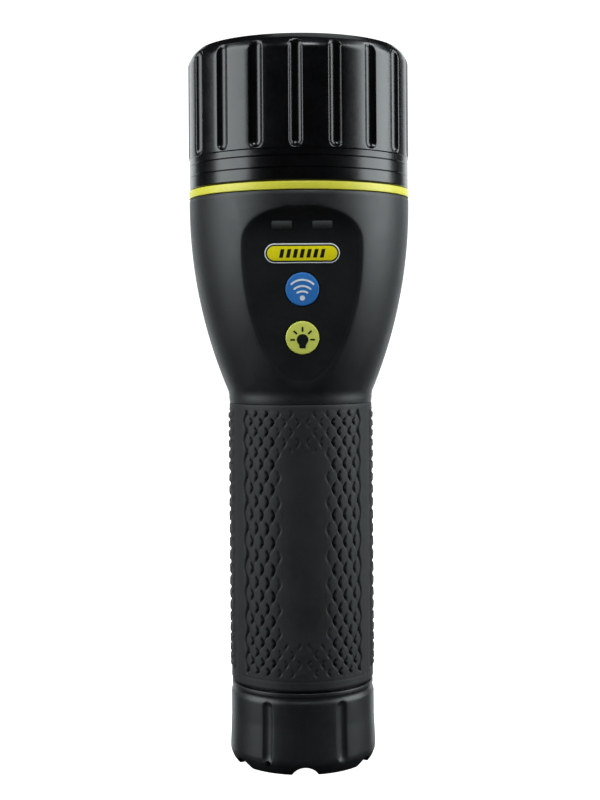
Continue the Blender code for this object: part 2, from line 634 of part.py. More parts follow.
def head_bezel():
    lip = LENS_BOTTOM + 3.0 * MM
    inner = [(HEAD_BORE, BEZEL_LOW), (HEAD_BORE, lip), (HEAD_MOUTH, lip), (HEAD_MOUTH, 207.0 * MM),
             (28.4 * MM, TOTAL_HEIGHT)]
    outer = [(29.5 * MM, TOTAL_HEIGHT), (31.2 * MM, 206.9 * MM), (HEAD_RADIUS, HEAD_CHAMFER),
             (HEAD_RADIUS, 176.5 * MM), (32.3 * MM, 176.2 * MM), (32.3 * MM, BEZEL_LOW + 0.3 * MM),
             (32.0 * MM, BEZEL_LOW)]
    bezel = turned("head_bezel", inner + outer, "satin_black", OUTER_STEPS)
    rod, distance = groove_rod(HEAD_RADIUS, FLUTE_WIDTH, FLUTE_DEPTH)
    capsule = capsule_profile(rod, FLUTE_TOP - FLUTE_BOTTOM + 0.4 * MM)
    boolean(bezel, around("flutes", FLUTES, FLUTE_PHASE, capsule, distance, FLUTE_BOTTOM, steps=8))
    start = HEAD_THREAD_START - 0.4 * MM + PITCH / 2
    boolean(bezel, thread_ridge("bezel_thread", HEAD_BORE, 29.35 * MM, start), "UNION")
    turned("head_seal", ring_section(29.05 * MM, 169.0 * MM, 0.82 * MM), "seal")


def tail_cap():
    floor = TAIL_RIM_DEPTH + TAIL_FLOOR
    profile = [(17.4 * MM, 0), (19.6 * MM, 0), (20.7 * MM, 1.2 * MM), (21.4 * MM, 3.2 * MM), (21.5 * MM, 4.4 * MM),
               (21.15 * MM, 13.6 * MM), (21.0 * MM, TAIL_TOP - 0.3 * MM), (20.7 * MM, TAIL_TOP),
               (TAIL_SEAL_BORE, TAIL_TOP), (TAIL_SEAL_BORE, TAIL_SEAL_FLOOR), (TAIL_BORE, TAIL_SEAL_FLOOR),
               (TAIL_BORE, floor), (0, floor), (0, TAIL_RIM_DEPTH), (17.4 * MM, TAIL_RIM_DEPTH)]
    bm = bmesh.new()
    spin_profile(bm, profile[12:13] + profile[11::-1] + profile[:-3:-1], OUTER_STEPS, closed=False)
    cap = finish_mesh("tail_cap", bm, "body_black")
    rod, distance = groove_rod(21.2 * MM, TAIL_GROOVE_WIDTH, TAIL_GROOVE_DEPTH)
    capsule = capsule_profile(rod, 18 * MM)
    boolean(cap, around("tail_grooves", TAIL_GROOVES, math.radians(30), capsule, distance, 3.5 * MM, steps=8))
    notch = (TAIL_NOTCH_WIDTH ** 2 / 4 + TAIL_NOTCH_HEIGHT ** 2) / (2 * TAIL_NOTCH_HEIGHT)
    for i in range(3):
        cutter = turned(f"tail_notch_{i}", disc_profile(notch, -30 * MM, 30 * MM), steps=SMALL_STEPS, closed=False)
        cutter.location.z = TAIL_NOTCH_HEIGHT - notch
        cutter.rotation_euler = (math.pi / 2, 0, i * math.pi / 3)
        boolean(cap, cutter)
    hole = turned("lanyard_hole", disc_profile(LANYARD_HOLE_RADIUS, -3 * MM, 3 * MM), steps=12, closed=False)
    hole.location = polar(19.0 * MM, math.radians(-30), LANYARD_HOLE_HEIGHT)
    hole.rotation_euler = (math.pi / 2, 0, math.radians(-30))
    boolean(cap, hole)
    boolean(cap, thread_ridge("cap_thread", TAIL_BORE, 18.45 * MM, TAIL_THREAD_START + PITCH / 2), "UNION")


def tail_fittings():
    floor = TAIL_RIM_DEPTH + TAIL_FLOOR
    turned("tail_seal", ring_section(18.88 * MM, 22.8 * MM, 0.6 * MM), "seal")
    turned("tail_contact", [(1.3 * MM, floor + 0.2 * MM), (9 * MM, floor + 0.2 * MM), (9 * MM, floor + 0.8 * MM),
                            (1.3 * MM, floor + 0.8 * MM)], "brass", 24)
    coil("tail_spring", floor + 1.0 * MM, PACK_BOTTOM - 1.0 * MM, 5.0 * MM, 0.6 * MM, 3.0, "steel")


def main():
    clear_scene()
    frame = panel_frame()
    main_housing()
    grip_sleeve()
    accent_ring()
    face_plate(frame)
    nameplate(frame)
    indicator_windows()
    button(frame, "radio", RADIO_BUTTON_Z, "blue")
    button(frame, "lamp", LAMP_BUTTON_Z, "lime")
    main_board(frame)
    board_parts(frame)
    battery_pack()
    contact_board()
    wires()
    heat_sink()
    lamp()
    reflector()
    lens()
    head_bezel()
    tail_cap()
    tail_fittings()


main()
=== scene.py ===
import bmesh
import bpy
import json
import math
import numpy as np
from mathutils import Matrix, Vector

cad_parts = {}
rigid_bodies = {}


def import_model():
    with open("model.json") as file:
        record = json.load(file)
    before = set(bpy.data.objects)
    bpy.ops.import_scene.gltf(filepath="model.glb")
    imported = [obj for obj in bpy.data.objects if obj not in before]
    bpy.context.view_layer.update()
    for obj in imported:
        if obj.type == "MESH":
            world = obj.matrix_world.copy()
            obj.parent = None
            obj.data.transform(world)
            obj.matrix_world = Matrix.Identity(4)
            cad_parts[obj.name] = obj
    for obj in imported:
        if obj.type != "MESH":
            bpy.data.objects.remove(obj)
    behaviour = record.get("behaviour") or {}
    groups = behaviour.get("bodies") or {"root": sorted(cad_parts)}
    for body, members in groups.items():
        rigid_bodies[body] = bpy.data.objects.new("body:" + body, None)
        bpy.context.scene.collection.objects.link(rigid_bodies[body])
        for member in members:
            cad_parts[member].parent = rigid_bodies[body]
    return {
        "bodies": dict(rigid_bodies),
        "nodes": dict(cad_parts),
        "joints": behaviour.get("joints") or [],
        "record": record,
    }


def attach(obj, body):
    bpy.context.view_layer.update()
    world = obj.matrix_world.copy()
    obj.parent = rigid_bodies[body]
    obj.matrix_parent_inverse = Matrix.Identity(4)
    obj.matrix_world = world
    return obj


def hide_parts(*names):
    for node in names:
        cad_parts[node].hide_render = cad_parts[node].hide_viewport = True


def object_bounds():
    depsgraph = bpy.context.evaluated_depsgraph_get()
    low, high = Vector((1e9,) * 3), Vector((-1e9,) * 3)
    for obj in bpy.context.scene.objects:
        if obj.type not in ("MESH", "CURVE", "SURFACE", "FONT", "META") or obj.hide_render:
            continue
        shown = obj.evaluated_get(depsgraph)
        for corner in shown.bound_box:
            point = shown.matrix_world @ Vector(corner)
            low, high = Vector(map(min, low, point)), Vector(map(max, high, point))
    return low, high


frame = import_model()
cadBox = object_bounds()

# Pieces are drawn in millimetres and scaled to metres when they are finished.
# A heading is an angle round the axis in degrees: 0 faces the control panel, and it grows towards +X.
mm = 0.001
fullTurnSteps = 360

torch = {"top": cadBox[1].z / mm, "radius": cadBox[1].x / mm}
flare = {"arc": 142.0, "centreR": -109.6, "centreZ": 163.3, "foot": 108.4, "top": 164.75}
panel = {"depth": 22.3, "depthAt": 113.3, "slope": 0.125, "arcStart": 150.8, "arcRadius": 15.0, "foot": 106.5}
panelTilt = math.atan(panel["slope"])


def startShape(profile, steps=fullTurnSteps, closed=True):
    # spins a chain of (radius, height) points round the axis
    bm = bmesh.new()
    verts = [bmesh.ops.create_vert(bm, co=(r, 0, z))["vert"][0] for r, z in profile]
    chain = verts + verts[:1] if closed else verts
    edges = [bm.edges.new(pair) for pair in zip(chain, chain[1:])]
    bmesh.ops.spin(bm, geom=verts + edges, cent=(0, 0, 0), axis=(0, 0, 1), dvec=(0, 0, 0),
                   angle=math.tau, steps=steps, use_merge=True, use_duplicate=False)
    bmesh.ops.remove_doubles(bm, verts=bm.verts, dist=1e-4)
    bmesh.ops.recalc_face_normals(bm, faces=bm.faces)
    return bm


def roundedChain(corners, closed=True, steps=3):
    # corners are (radius, height) or (radius, height, fillet); a fillet becomes a short arc
    points = []
    count = len(corners)
    for i, corner in enumerate(corners):
        here = Vector(corner[:2])
        fillet = corner[2] if len(corner) > 2 else 0
        if not fillet or (not closed and i in (0, count - 1)):
            points.append(tuple(here))
            continue
        back = Vector(corners[i - 1][:2]) - here
        ahead = Vector(corners[(i + 1) % count][:2]) - here
        reach = min(fillet, 0.49 * back.length, 0.49 * ahead.length)
        first, last = here + back.normalized() * reach, here + ahead.normalized() * reach
        for k in range(steps + 1):
            t = k / steps
            points.append(tuple(first * (1 - t) ** 2 + here * 2 * t * (1 - t) + last * t * t))
    return points


def rowsBetween(low, high, spacing):
    count = max(1, round(abs(high - low) / spacing))
    return [low + (high - low) * i / count for i in range(count + 1)]


def reshape(bm, rule):
    # rule takes and gives radius, heading and height of every vertex
    co = np.array([v.co for v in bm.verts])
    r, heading, z = rule(np.hypot(co[:, 0], co[:, 1]), np.degrees(np.arctan2(co[:, 0], -co[:, 1])), co[:, 2])
    turn = np.radians(heading)
    for v, place in zip(bm.verts, np.column_stack((r * np.sin(turn), -r * np.cos(turn), z))):
        v.co = place


def fromSectorMiddle(heading, width, offset):
    return heading - offset - np.round((heading - offset) / width) * width


def placeColumns(heading, width, offset, evenly, placed):
    # moves the evenly spaced columns of each sector to the headings where they are needed
    local = fromSectorMiddle(heading, width, offset)
    return heading - local + np.sign(local) * np.interp(np.abs(local), evenly, placed)


def smoothStep(low, high, value):
    t = np.clip((value - low) / (high - low), 0, 1)
    return t * t * (3 - 2 * t)


def softMin(a, b, blend):
    return 0.5 * (a + b - np.sqrt((a - b) ** 2 + blend ** 2))


def softMax(a, b, blend):
    return 0.5 * (a + b + np.sqrt((a - b) ** 2 + blend ** 2))


def threadHeight(heading, z, start, turns, height, pitch=3.0, base=0.62, tip=0.3):
    # a right-hand ridge that starts at the +X side and fades at both ends
    turned = ((heading - 90) % 360) / 360
    lift = np.zeros_like(z)
    for k in range(int(turns) + 1):
        along = k + turned
        away = np.abs(z - start - pitch * along)
        ridge = height * np.clip((base - away) / (base - tip), 0, 1)
        ends = smoothStep(0, 0.04, along) * (1 - smoothStep(turns - 0.04, turns, along))
        lift = np.maximum(lift, ridge * ends)
    return lift


def meshObject(bm, name, scale=mm):
    bmesh.ops.scale(bm, vec=(scale, scale, scale), verts=bm.verts)
    mesh = bpy.data.meshes.new(name)
    bm.to_mesh(mesh)
    bm.free()
    obj = bpy.data.objects.new(name, mesh)
    bpy.context.scene.collection.objects.link(obj)
    return obj


def finishPiece(bm, name, body, look, nodes=(), sharp=32):
    obj = meshObject(bm, name)
    obj.data.shade_smooth()
    obj.data.set_sharp_from_angle(angle=math.radians(sharp))
    obj.data.materials.append(look)
    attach(obj, body)
    if nodes:
        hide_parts(*nodes)
    return obj


def cut(obj, cutters):
    for cutter in cutters:
        step = obj.modifiers.new("cut", "BOOLEAN")
        step.operation, step.solver, step.object = "DIFFERENCE", "EXACT", cutter
    bpy.context.view_layer.update()
    made = bpy.data.meshes.new_from_object(obj.evaluated_get(bpy.context.evaluated_depsgraph_get()))
    obj.modifiers.clear()
    old, obj.data = obj.data, made
    bpy.data.meshes.remove(old)
    for cutter in cutters:
        bpy.data.objects.remove(cutter)
    return obj


def flareRadius(z):
    return flare["centreR"] + np.sqrt(flare["arc"] ** 2 - (flare["centreZ"] - z) ** 2)


def panelDepth(z, inward=0.0):
    # how far the panel surface lies in front of the axis at height z; it turns outward in an arc at its top
    z = np.asarray(z, float)
    flat = panel["depth"] + panel["slope"] * (z - panel["depthAt"]) - inward / math.cos(panelTilt)
    corner = panel["depth"] + panel["slope"] * (panel["arcStart"] - panel["depthAt"])
    centreDepth = corner + panel["arcRadius"] * math.cos(panelTilt)
    centreZ = panel["arcStart"] - panel["arcRadius"] * math.sin(panelTilt)
    radius = panel["arcRadius"] + inward
    turnsAt = centreZ + radius * math.sin(panelTilt)
    arc = centreDepth - np.sqrt(np.maximum(radius ** 2 - (z - centreZ) ** 2, 0))
    arc = np.where(z > centreZ + 0.95 * radius, 99.0, arc)
    return np.where(z > turnsAt, arc, flat)


def panelSlope(z, reach=0.05):
    return (float(panelDepth(z + reach)) - float(panelDepth(z - reach))) / (2 * reach)


def panelPlace(z):
    # a frame on the flat panel: its +Z leaves the panel, its +Y climbs it
    depth = panel["depth"] + panel["slope"] * (z - panel["depthAt"])
    return Matrix.Translation((0, -depth, z)) @ Matrix.Rotation(math.pi / 2 + panelTilt, 4, "X")


# Materials

class Wire:
    def __init__(self, finish, socket):
        self.finish, self.socket = finish, socket

    def maths(self, operation, first, second):
        return self.finish.node("ShaderNodeMath", {"operation": operation}, {0: first, 1: second})

    def __add__(self, other): return self.maths("ADD", self, other)
    def __radd__(self, other): return self.maths("ADD", other, self)
    def __sub__(self, other): return self.maths("SUBTRACT", self, other)
    def __rsub__(self, other): return self.maths("SUBTRACT", other, self)
    def __mul__(self, other): return self.maths("MULTIPLY", self, other)
    def __rmul__(self, other): return self.maths("MULTIPLY", other, self)
    def __pow__(self, other): return self.maths("POWER", self, other)


class Finish:
    def __init__(self, name, **constants):
        self.material = bpy.data.materials.new(name)
        self.material.use_nodes = True
        self.tree = self.material.node_tree
        self.tree.nodes.clear()
        self.surface = self.tree.nodes.new("ShaderNodeBsdfPrincipled")
        end = self.tree.nodes.new("ShaderNodeOutputMaterial")
        self.tree.links.new(self.surface.outputs[0], end.inputs[0])
        self.place = self.node("ShaderNodeTexCoord", {}, {}, "Object")
        for socket, value in constants.items():
            self.put(self.surface, socket.replace("_", " "), value)

    def put(self, node, socket, value):
        if isinstance(value, Wire):
            self.tree.links.new(value.socket, node.inputs[socket])
        else:
            target = node.inputs[socket]
            isColour = hasattr(value, "__len__") and target.type == "RGBA"
            target.default_value = (*value, 1.0) if isColour else value

    def node(self, kind, settings, inputs, output=0):
        made = self.tree.nodes.new(kind)
        for name, value in settings.items():
            if name == "stops":
                ramp = made.color_ramp
                while len(ramp.elements) < len(value):
                    ramp.elements.new(0.5)
                for element, (position, shade) in zip(ramp.elements, value):
                    element.position = position
                    element.color = (*shade, 1.0) if hasattr(shade, "__len__") else (shade, shade, shade, 1.0)
            else:
                setattr(made, name, value)
        for socket, value in inputs.items():
            self.put(made, socket, value)
        return Wire(self, made.outputs[output])

    def noise(self, size, detail=2.0, roughness=0.5, stretch=None):
        # size is the width of a feature in millimetres
        where = self.place
        if stretch:
            where = self.node("ShaderNodeMapping", {}, {"Vector": where, "Scale": stretch})
        sockets = {"Vector": where, "Scale": 1 / (size * mm), "Detail": detail, "Roughness": roughness}
        return self.node("ShaderNodeTexNoise", {}, sockets, "Fac")

    def between(self, low, high, value):
        return self.node("ShaderNodeMapRange", {"interpolation_type": "SMOOTHSTEP"},
                         {"Value": value, "From Min": low, "From Max": high})

    def mix(self, amount, first, second):
        return self.node("ShaderNodeMix", {"data_type": "RGBA"}, {0: amount, 6: first, 7: second}, 2)

    def bump(self, height, depth, strength=1.0):
        return self.node("ShaderNodeBump", {}, {"Height": height, "Distance": depth * mm, "Strength": strength})

    def use(self, **links):
        for socket, value in links.items():
            self.put(self.surface, socket.replace("_", " "), value)
        return self.material


mouldedLooks = {
    # two colours of the mottle, roughness low and high, grain size and depth in mm, specular level;
    # pits are the distances from the axis where the grip turns from its painted pit shade to its own colour
    "satin_black": {"dark": (0.0008, 0.0009, 0.001), "light": (0.0020, 0.0021, 0.0023), "rough": (0.19, 0.27),
                    "grain": 0.16, "depth": 0.004, "specular": 0.5},
    "body_black": {"dark": (0.0045, 0.005, 0.0055), "light": (0.008, 0.0085, 0.0092), "rough": (0.42, 0.54),
                   "grain": 0.22, "depth": 0.014, "specular": 0.5},
    "tail_black": {"dark": (0.0045, 0.005, 0.0055), "light": (0.008, 0.0086, 0.0092), "rough": (0.36, 0.46),
                   "grain": 0.22, "depth": 0.008, "specular": 0.5},
    "panel_black": {"dark": (0.0045, 0.005, 0.0055), "light": (0.008, 0.0085, 0.0092), "rough": (0.42, 0.52),
                    "grain": 0.20, "depth": 0.008, "specular": 0.42},
    "rubber": {"dark": (0.0065, 0.007, 0.0075), "light": (0.013, 0.0136, 0.0142), "rough": (0.55, 0.72),
               "grain": 0.30, "depth": 0.02, "specular": 0.4, "pits": (20.34, 20.72)},
    "yellow_ring": {"dark": (0.68, 0.63, 0.045), "light": (0.76, 0.705, 0.068), "rough": (0.35, 0.46),
                    "grain": 0.25, "depth": 0.006, "specular": 0.45},
    "seal_rubber": {"dark": (0.008, 0.008, 0.009), "light": (0.016, 0.016, 0.017), "rough": (0.5, 0.65),
                    "grain": 0.2, "depth": 0.01, "specular": 0.5},
    "inner_plastic": {"dark": (0.020, 0.021, 0.023), "light": (0.034, 0.035, 0.037), "rough": (0.42, 0.55),
                      "grain": 0.3, "depth": 0.012, "specular": 0.5},
    "wire_red": {"dark": (0.38, 0.012, 0.010), "light": (0.52, 0.022, 0.018), "rough": (0.38, 0.5),
                 "grain": 0.4, "depth": 0.008, "specular": 0.5},
    "wire_black": {"dark": (0.010, 0.010, 0.011), "light": (0.020, 0.020, 0.021), "rough": (0.38, 0.5),
                   "grain": 0.4, "depth": 0.008, "specular": 0.5},
    "radio_blue": {"dark": (0.026, 0.175, 0.54), "light": (0.036, 0.21, 0.62), "rough": (0.36, 0.48),
                   "grain": 0.2, "depth": 0.006, "specular": 0.45},
    "lamp_lime": {"dark": (0.74, 0.76, 0.13), "light": (0.82, 0.84, 0.17), "rough": (0.36, 0.48),
                  "grain": 0.2, "depth": 0.006, "specular": 0.45},
    "yellow_badge": {"dark": (0.96, 0.82, 0.008), "light": (1.0, 0.87, 0.014), "rough": (0.22, 0.32),
                     "grain": 0.3, "depth": 0.003, "specular": 0.5},
}


def mouldedFinish(name, look):
    # moulded plastic or rubber: a cloudy mottle, handling marks in the gloss and a fine grain
    finish = Finish(name, Specular_IOR_Level=look["specular"])
    cloud = finish.noise(9.0, 4.0, 0.6)
    fine = finish.noise(1.1, 3.0, 0.6)
    grain = finish.noise(look["grain"], 2.0, 0.55)
    mottle = finish.between(0.3, 0.7, cloud * 0.6 + fine * 0.4)
    rub = finish.between(0.52, 0.75, finish.noise(3.2, 5.0, 0.7, stretch=(1.0, 1.0, 0.35)))
    low, high = look["rough"]
    rough = low + (high - low) * (mottle * 0.7 + grain * 0.3) - rub * (high - low) * 0.35
    colour = finish.mix(mottle, look["dark"], look["light"])
    if "pits" in look:  # painted shade: the pits are painted dark and made dull between the studs
        deep, shallow = look["pits"]
        axes = [finish.node("ShaderNodeSeparateXYZ", {}, {0: finish.place}, i) for i in range(2)]
        radius = (axes[0] * axes[0] + axes[1] * axes[1]) ** 0.5
        outOfPitShade = finish.between(deep * mm, shallow * mm, radius)
        # painted shade: a near-black colour fills the pits, chosen by distance from the axis
        colour = finish.mix(outOfPitShade, (0.0006, 0.0006, 0.0007), colour)
        rough = rough + (1 - outOfPitShade) * (1 - rough) * 0.8
    return finish.use(Base_Color=colour, Roughness=rough,
                      Normal=finish.bump(grain * 0.75 + fine * 0.25, look["depth"], 0.7))


def inkFinish(name, colour, rough=0.4):
    # pad-printed ink with a slightly uneven film
    finish = Finish(name, Specular_IOR_Level=0.45)
    film = finish.noise(0.5, 3.0, 0.6)
    thin = tuple(c * 0.86 for c in colour)
    return finish.use(Base_Color=finish.mix(finish.between(0.35, 0.7, film), thin, colour),
                      Roughness=rough + film * 0.12, Normal=finish.bump(film, 0.004, 0.5))


def metalFinish(name, colour, rough, brush=(1.0, 1.0, 1.0), tarnish=0.25):
    # turned or drawn metal: fine lines in the gloss and a faint darker tarnish
    finish = Finish(name, Metallic=1.0)
    lines = finish.noise(0.35, 3.0, 0.6, stretch=brush)
    cloud = finish.between(0.35, 0.75, finish.noise(4.0, 4.0, 0.6))
    dark = tuple(c * (1 - tarnish) for c in colour)
    return finish.use(Base_Color=finish.mix(cloud, colour, dark),
                      Roughness=rough + lines * 0.14 + cloud * 0.08, Normal=finish.bump(lines, 0.004, 0.6))


def mirrorFinish(name):
    finish = Finish(name, Metallic=1.0)
    peel = finish.noise(1.6, 3.0, 0.5)
    colour = finish.mix(finish.noise(7.0, 2.0), (0.90, 0.91, 0.92), (0.84, 0.85, 0.87))
    return finish.use(Base_Color=colour, Roughness=0.03 + peel * 0.05, Normal=finish.bump(peel, 0.008, 0.35))


def lensFinish(name):
    finish = Finish(name, Base_Color=(0.97, 0.985, 0.99), Transmission_Weight=1.0, IOR=1.49)
    dust = finish.between(0.62, 0.8, finish.noise(2.4, 5.0, 0.7))
    return finish.use(Roughness=0.015 + dust * 0.05, Normal=finish.bump(finish.noise(6.0, 1.0), 0.002, 0.2))


def windowFinish(name):
    # smoked plastic, with a painted highlight that makes it a little lighter towards its top edge
    finish = Finish(name, Specular_IOR_Level=0.5, Coat_Roughness=0.2)
    streak = finish.noise(1.2, 3.0, 0.5)
    height = finish.node("ShaderNodeSeparateXYZ", {}, {0: finish.place}, 2)
    # painted highlight: the colour lightens with height across the window
    rise = finish.between(0.1545, 0.1568, height)
    colour = finish.mix(rise * 0.7 + streak * 0.3, (0.014, 0.015, 0.015), (0.15, 0.155, 0.15))
    return finish.use(Base_Color=colour, Roughness=0.26 + streak * 0.12, Coat_Weight=0.12 + streak * 0.06,
                      Normal=finish.bump(streak, 0.003, 0.3))


def boardFinish(name):
    # solder mask with copper tracks showing through it as a lighter green
    finish = Finish(name, Specular_IOR_Level=0.5)
    tracks = finish.node("ShaderNodeTexVoronoi", {"feature": "DISTANCE_TO_EDGE"},
                         {"Vector": finish.place, "Scale": 1 / (3.2 * mm)}, "Distance")
    line = 1 - finish.between(0.05, 0.09, tracks)
    weave = finish.noise(0.4, 2.0)
    colour = finish.mix(line, (0.010, 0.085, 0.035), (0.03, 0.20, 0.085))
    return finish.use(Base_Color=finish.mix(weave * 0.4, colour, (0.006, 0.05, 0.02)),
                      Roughness=0.28 + weave * 0.16, Normal=finish.bump(line + weave * 0.2, 0.02, 0.5))


def wrapFinish(name):
    # printed shrink sleeve of a cell: a dark band at the foot of each cell and fine crinkles
    finish = Finish(name, Specular_IOR_Level=0.5)
    crinkle = finish.noise(2.0, 5.0, 0.65, stretch=(1.0, 1.0, 0.25))
    height = finish.node("ShaderNodeSeparateXYZ", {}, {0: finish.place}, 2)
    band = finish.between(0.058, 0.0585, height)
    colour = finish.mix(band, (0.05, 0.14, 0.26), (0.30, 0.32, 0.34))
    return finish.use(Base_Color=finish.mix(crinkle * 0.25, colour, (0.02, 0.04, 0.07)),
                      Roughness=0.24 + crinkle * 0.2, Normal=finish.bump(crinkle, 0.03, 0.5))


def phosphorFinish(name):
    finish = Finish(name, Specular_IOR_Level=0.5)
    speck = finish.noise(0.12, 3.0, 0.7)
    return finish.use(Base_Color=finish.mix(speck, (0.86, 0.66, 0.05), (0.95, 0.82, 0.22)),
                      Roughness=0.25 + speck * 0.2, Normal=finish.bump(speck, 0.01, 0.5))


looks = {name: mouldedFinish(name, look) for name, look in mouldedLooks.items()}
looks["aluminium"] = metalFinish("aluminium", (0.62, 0.63, 0.65), 0.26, (1.0, 1.0, 8.0))
looks["shield_steel"] = metalFinish("shield_steel", (0.56, 0.57, 0.58), 0.3, (1.0, 6.0, 1.0))
looks["spring_steel"] = metalFinish("spring_steel", (0.58, 0.58, 0.58), 0.22)
looks["brass"] = metalFinish("brass", (0.74, 0.55, 0.24), 0.22, (1.0, 1.0, 1.0), 0.35)
looks["bright_mirror"] = mirrorFinish("bright_mirror")
looks["clear_lens"] = lensFinish("clear_lens")
looks["smoky_window"] = windowFinish("smoky_window")
looks["board_green"] = boardFinish("board_green")
looks["cell_wrap"] = wrapFinish("cell_wrap")
looks["phosphor"] = phosphorFinish("phosphor")
looks["indicator_chip"] = phosphorFinish("indicator_chip")
whiteInk = inkFinish("white_ink", (0.97, 0.98, 0.99))
blackInk = inkFinish("black_ink", (0.008, 0.008, 0.009), 0.32)
for part in frame["record"]["subparts"]:
    for holder in frame["nodes"][part["node"]].material_slots:
        holder.material = looks[part["material_slot"]]
print("materials made:", len(looks))


# Head bezel: flutes, two fine lines, a soft chamfer and the lens lip

bezel = {"foot": 167.4, "bore": 30.2, "step": 176.4, "skirt": 32.3, "body": 32.5, "mouth": 27.2, "lip": 205.6,
         "flutes": 18, "phase": -3.05, "toolRadius": 2.11, "toolOffset": 0.81, "toolReach": 1.9, "reachDepth": 0.11,
         "fluteLow": 178.65, "fluteHigh": 204.85, "lipBlend": 0.16,
         "lines": (171.1, 174.4), "lineWidth": 0.3, "lineDepth": 0.22,
         "columns": (0, 0.9, 1.8, 2.5, 3.0, 3.35, 3.7, 4.1, 4.7, 6.1, 8.0, 10.0)}


def makeBezel():
    b = bezel
    skirt = [(b["skirt"] - 0.35, b["foot"], 0), (b["skirt"], b["foot"] + 0.35, 0.2)]
    for line in b["lines"]:
        half = b["lineWidth"] / 2
        skirt += [(b["skirt"], line - half - 0.06, 0), (b["skirt"] - b["lineDepth"] * 0.7, line - half * 0.5, 0),
                  (b["skirt"] - b["lineDepth"], line, 0), (b["skirt"] - b["lineDepth"] * 0.7, line + half * 0.5, 0),
                  (b["skirt"], line + half + 0.06, 0)]
    corners = skirt + [(b["skirt"], b["step"] - 0.12, 0.1), (b["body"], b["step"] + 0.12, 0.1),
                       (b["body"], 204.7, 0.9), (31.3, 206.85, 0.5), (29.55, torch["top"], 0.25),
                       (28.4, torch["top"], 0.25), (b["mouth"], 207.0, 0.3), (b["mouth"], b["lip"], 0.15),
                       (b["bore"], b["lip"], 0), (b["bore"], b["foot"] + 0.4, 0), (b["bore"] + 0.3, b["foot"], 0)]
    chain = roundedChain(corners, steps=4)
    dense = []
    for (r0, z0), (r1, z1) in zip(chain, chain[1:] + chain[:1]):
        outside = r0 > 31 and r1 > 31
        cuts = [0.0]
        heights = []
        if outside and z1 - z0 > 5:  # the fluted wall: close rows at the flute ends, wide ones between
            heights = rowsBetween(z0, 179.4, 0.22) + rowsBetween(179.4, 203.0, 3.4)[1:]
            heights += rowsBetween(203.0, z1, 0.22)[1:]
        elif not outside and r0 > 30 and z0 - z1 > 20:  # the threaded bore
            heights = rowsBetween(z0, 180.0, 6.0) + rowsBetween(180.0, 171.0, 0.36)[1:]
            heights += rowsBetween(171.0, z1, 1.2)[1:]
        elif outside and z0 > 203:
            cuts = [0.0, 0.5]
        if heights:
            cuts = [(h - z0) / (z1 - z0) for h in heights[:-1]]
        dense += [(r0 + (r1 - r0) * c, z0 + (z1 - z0) * c) for c in cuts]
    bm = startShape(dense, b["flutes"] * 22)

    def rule(r, heading, z):
        width = 360 / b["flutes"]
        placed = placeColumns(heading, width, 0.0, np.linspace(0, 10, 12), b["columns"])
        across = r * np.sin(np.radians(fromSectorMiddle(placed, width, 0.0)))
        along = np.maximum(np.maximum(b["fluteLow"] - z, z - b["fluteHigh"]), 0)
        away = np.sqrt(across ** 2 + along ** 2)
        tool = np.sqrt(np.maximum(b["toolRadius"] ** 2 - away ** 2, 0)) - b["toolOffset"]
        tool = np.where(away > b["toolReach"], b["reachDepth"] - (away - b["toolReach"]) * 2.0, tool)
        depth = softMax(tool, 0, b["lipBlend"]) - softMax(-3.0, 0, b["lipBlend"])
        wall = (r > 31.0) & (z > b["step"] - 0.3) | (r > 28.6) & (z > 204.9)
        fluted = softMin(r, b["body"] - np.maximum(depth, 0) + 0.02, 0.06)
        r = np.where(wall, np.where(depth > 0.004, np.minimum(r, fluted), r), r)
        inBore = (r < 30.5) & (z < 181)
        r = np.where(inBore, r - threadHeight(heading, z, 172.5, 1.5, 0.85), r)
        return r, placed + b["phase"], z

    reshape(bm, rule)
    bmesh.ops.recalc_face_normals(bm, faces=bm.faces)
    return finishPiece(bm, "headBezel", "head", looks["satin_black"], ["head_bezel"], 38)


makeBezel()
print("bezel made")


ring = {"inner": 29.3, "low": 164.95, "high": 167.2, "fillet": 0.25}


def makeAccentRing():
    outer = torch["radius"]
    corners = [(ring["inner"], ring["low"]), (outer, ring["low"], ring["fillet"]),
               (outer, ring["high"], ring["fillet"]), (ring["inner"], ring["high"])]
    bm = startShape(roundedChain(corners, steps=4), 240)
    return finishPiece(bm, "accentRing", "barrel", looks["yellow_ring"], ["accent_ring"])


makeAccentRing()


# Housing: the flare with its tilted flat, both threaded spigots and the bore

housing = {"foot": 10.0, "tailSpigot": 18.1, "shoulder": 23.6, "core": 19.0, "sleeveHigh": 105.0,
           "radius": 21.15, "bore": 17.2, "wall": 2.4, "flatWall": 3.6,
           "headSpigot": 28.9, "spigotTop": 179.8, "spigotBore": 27.0, "ledge": 171.3,
           "creaseBlend": 0.22, "creaseZone": 0.9}


def creaseHeading(z):
    # where the flat meets the round of the barrel, as a heading
    radius = np.where(z < flare["foot"], housing["radius"], flareRadius(z))
    return np.degrees(np.arccos(np.clip(panelDepth(z) / radius, -1, 1)))


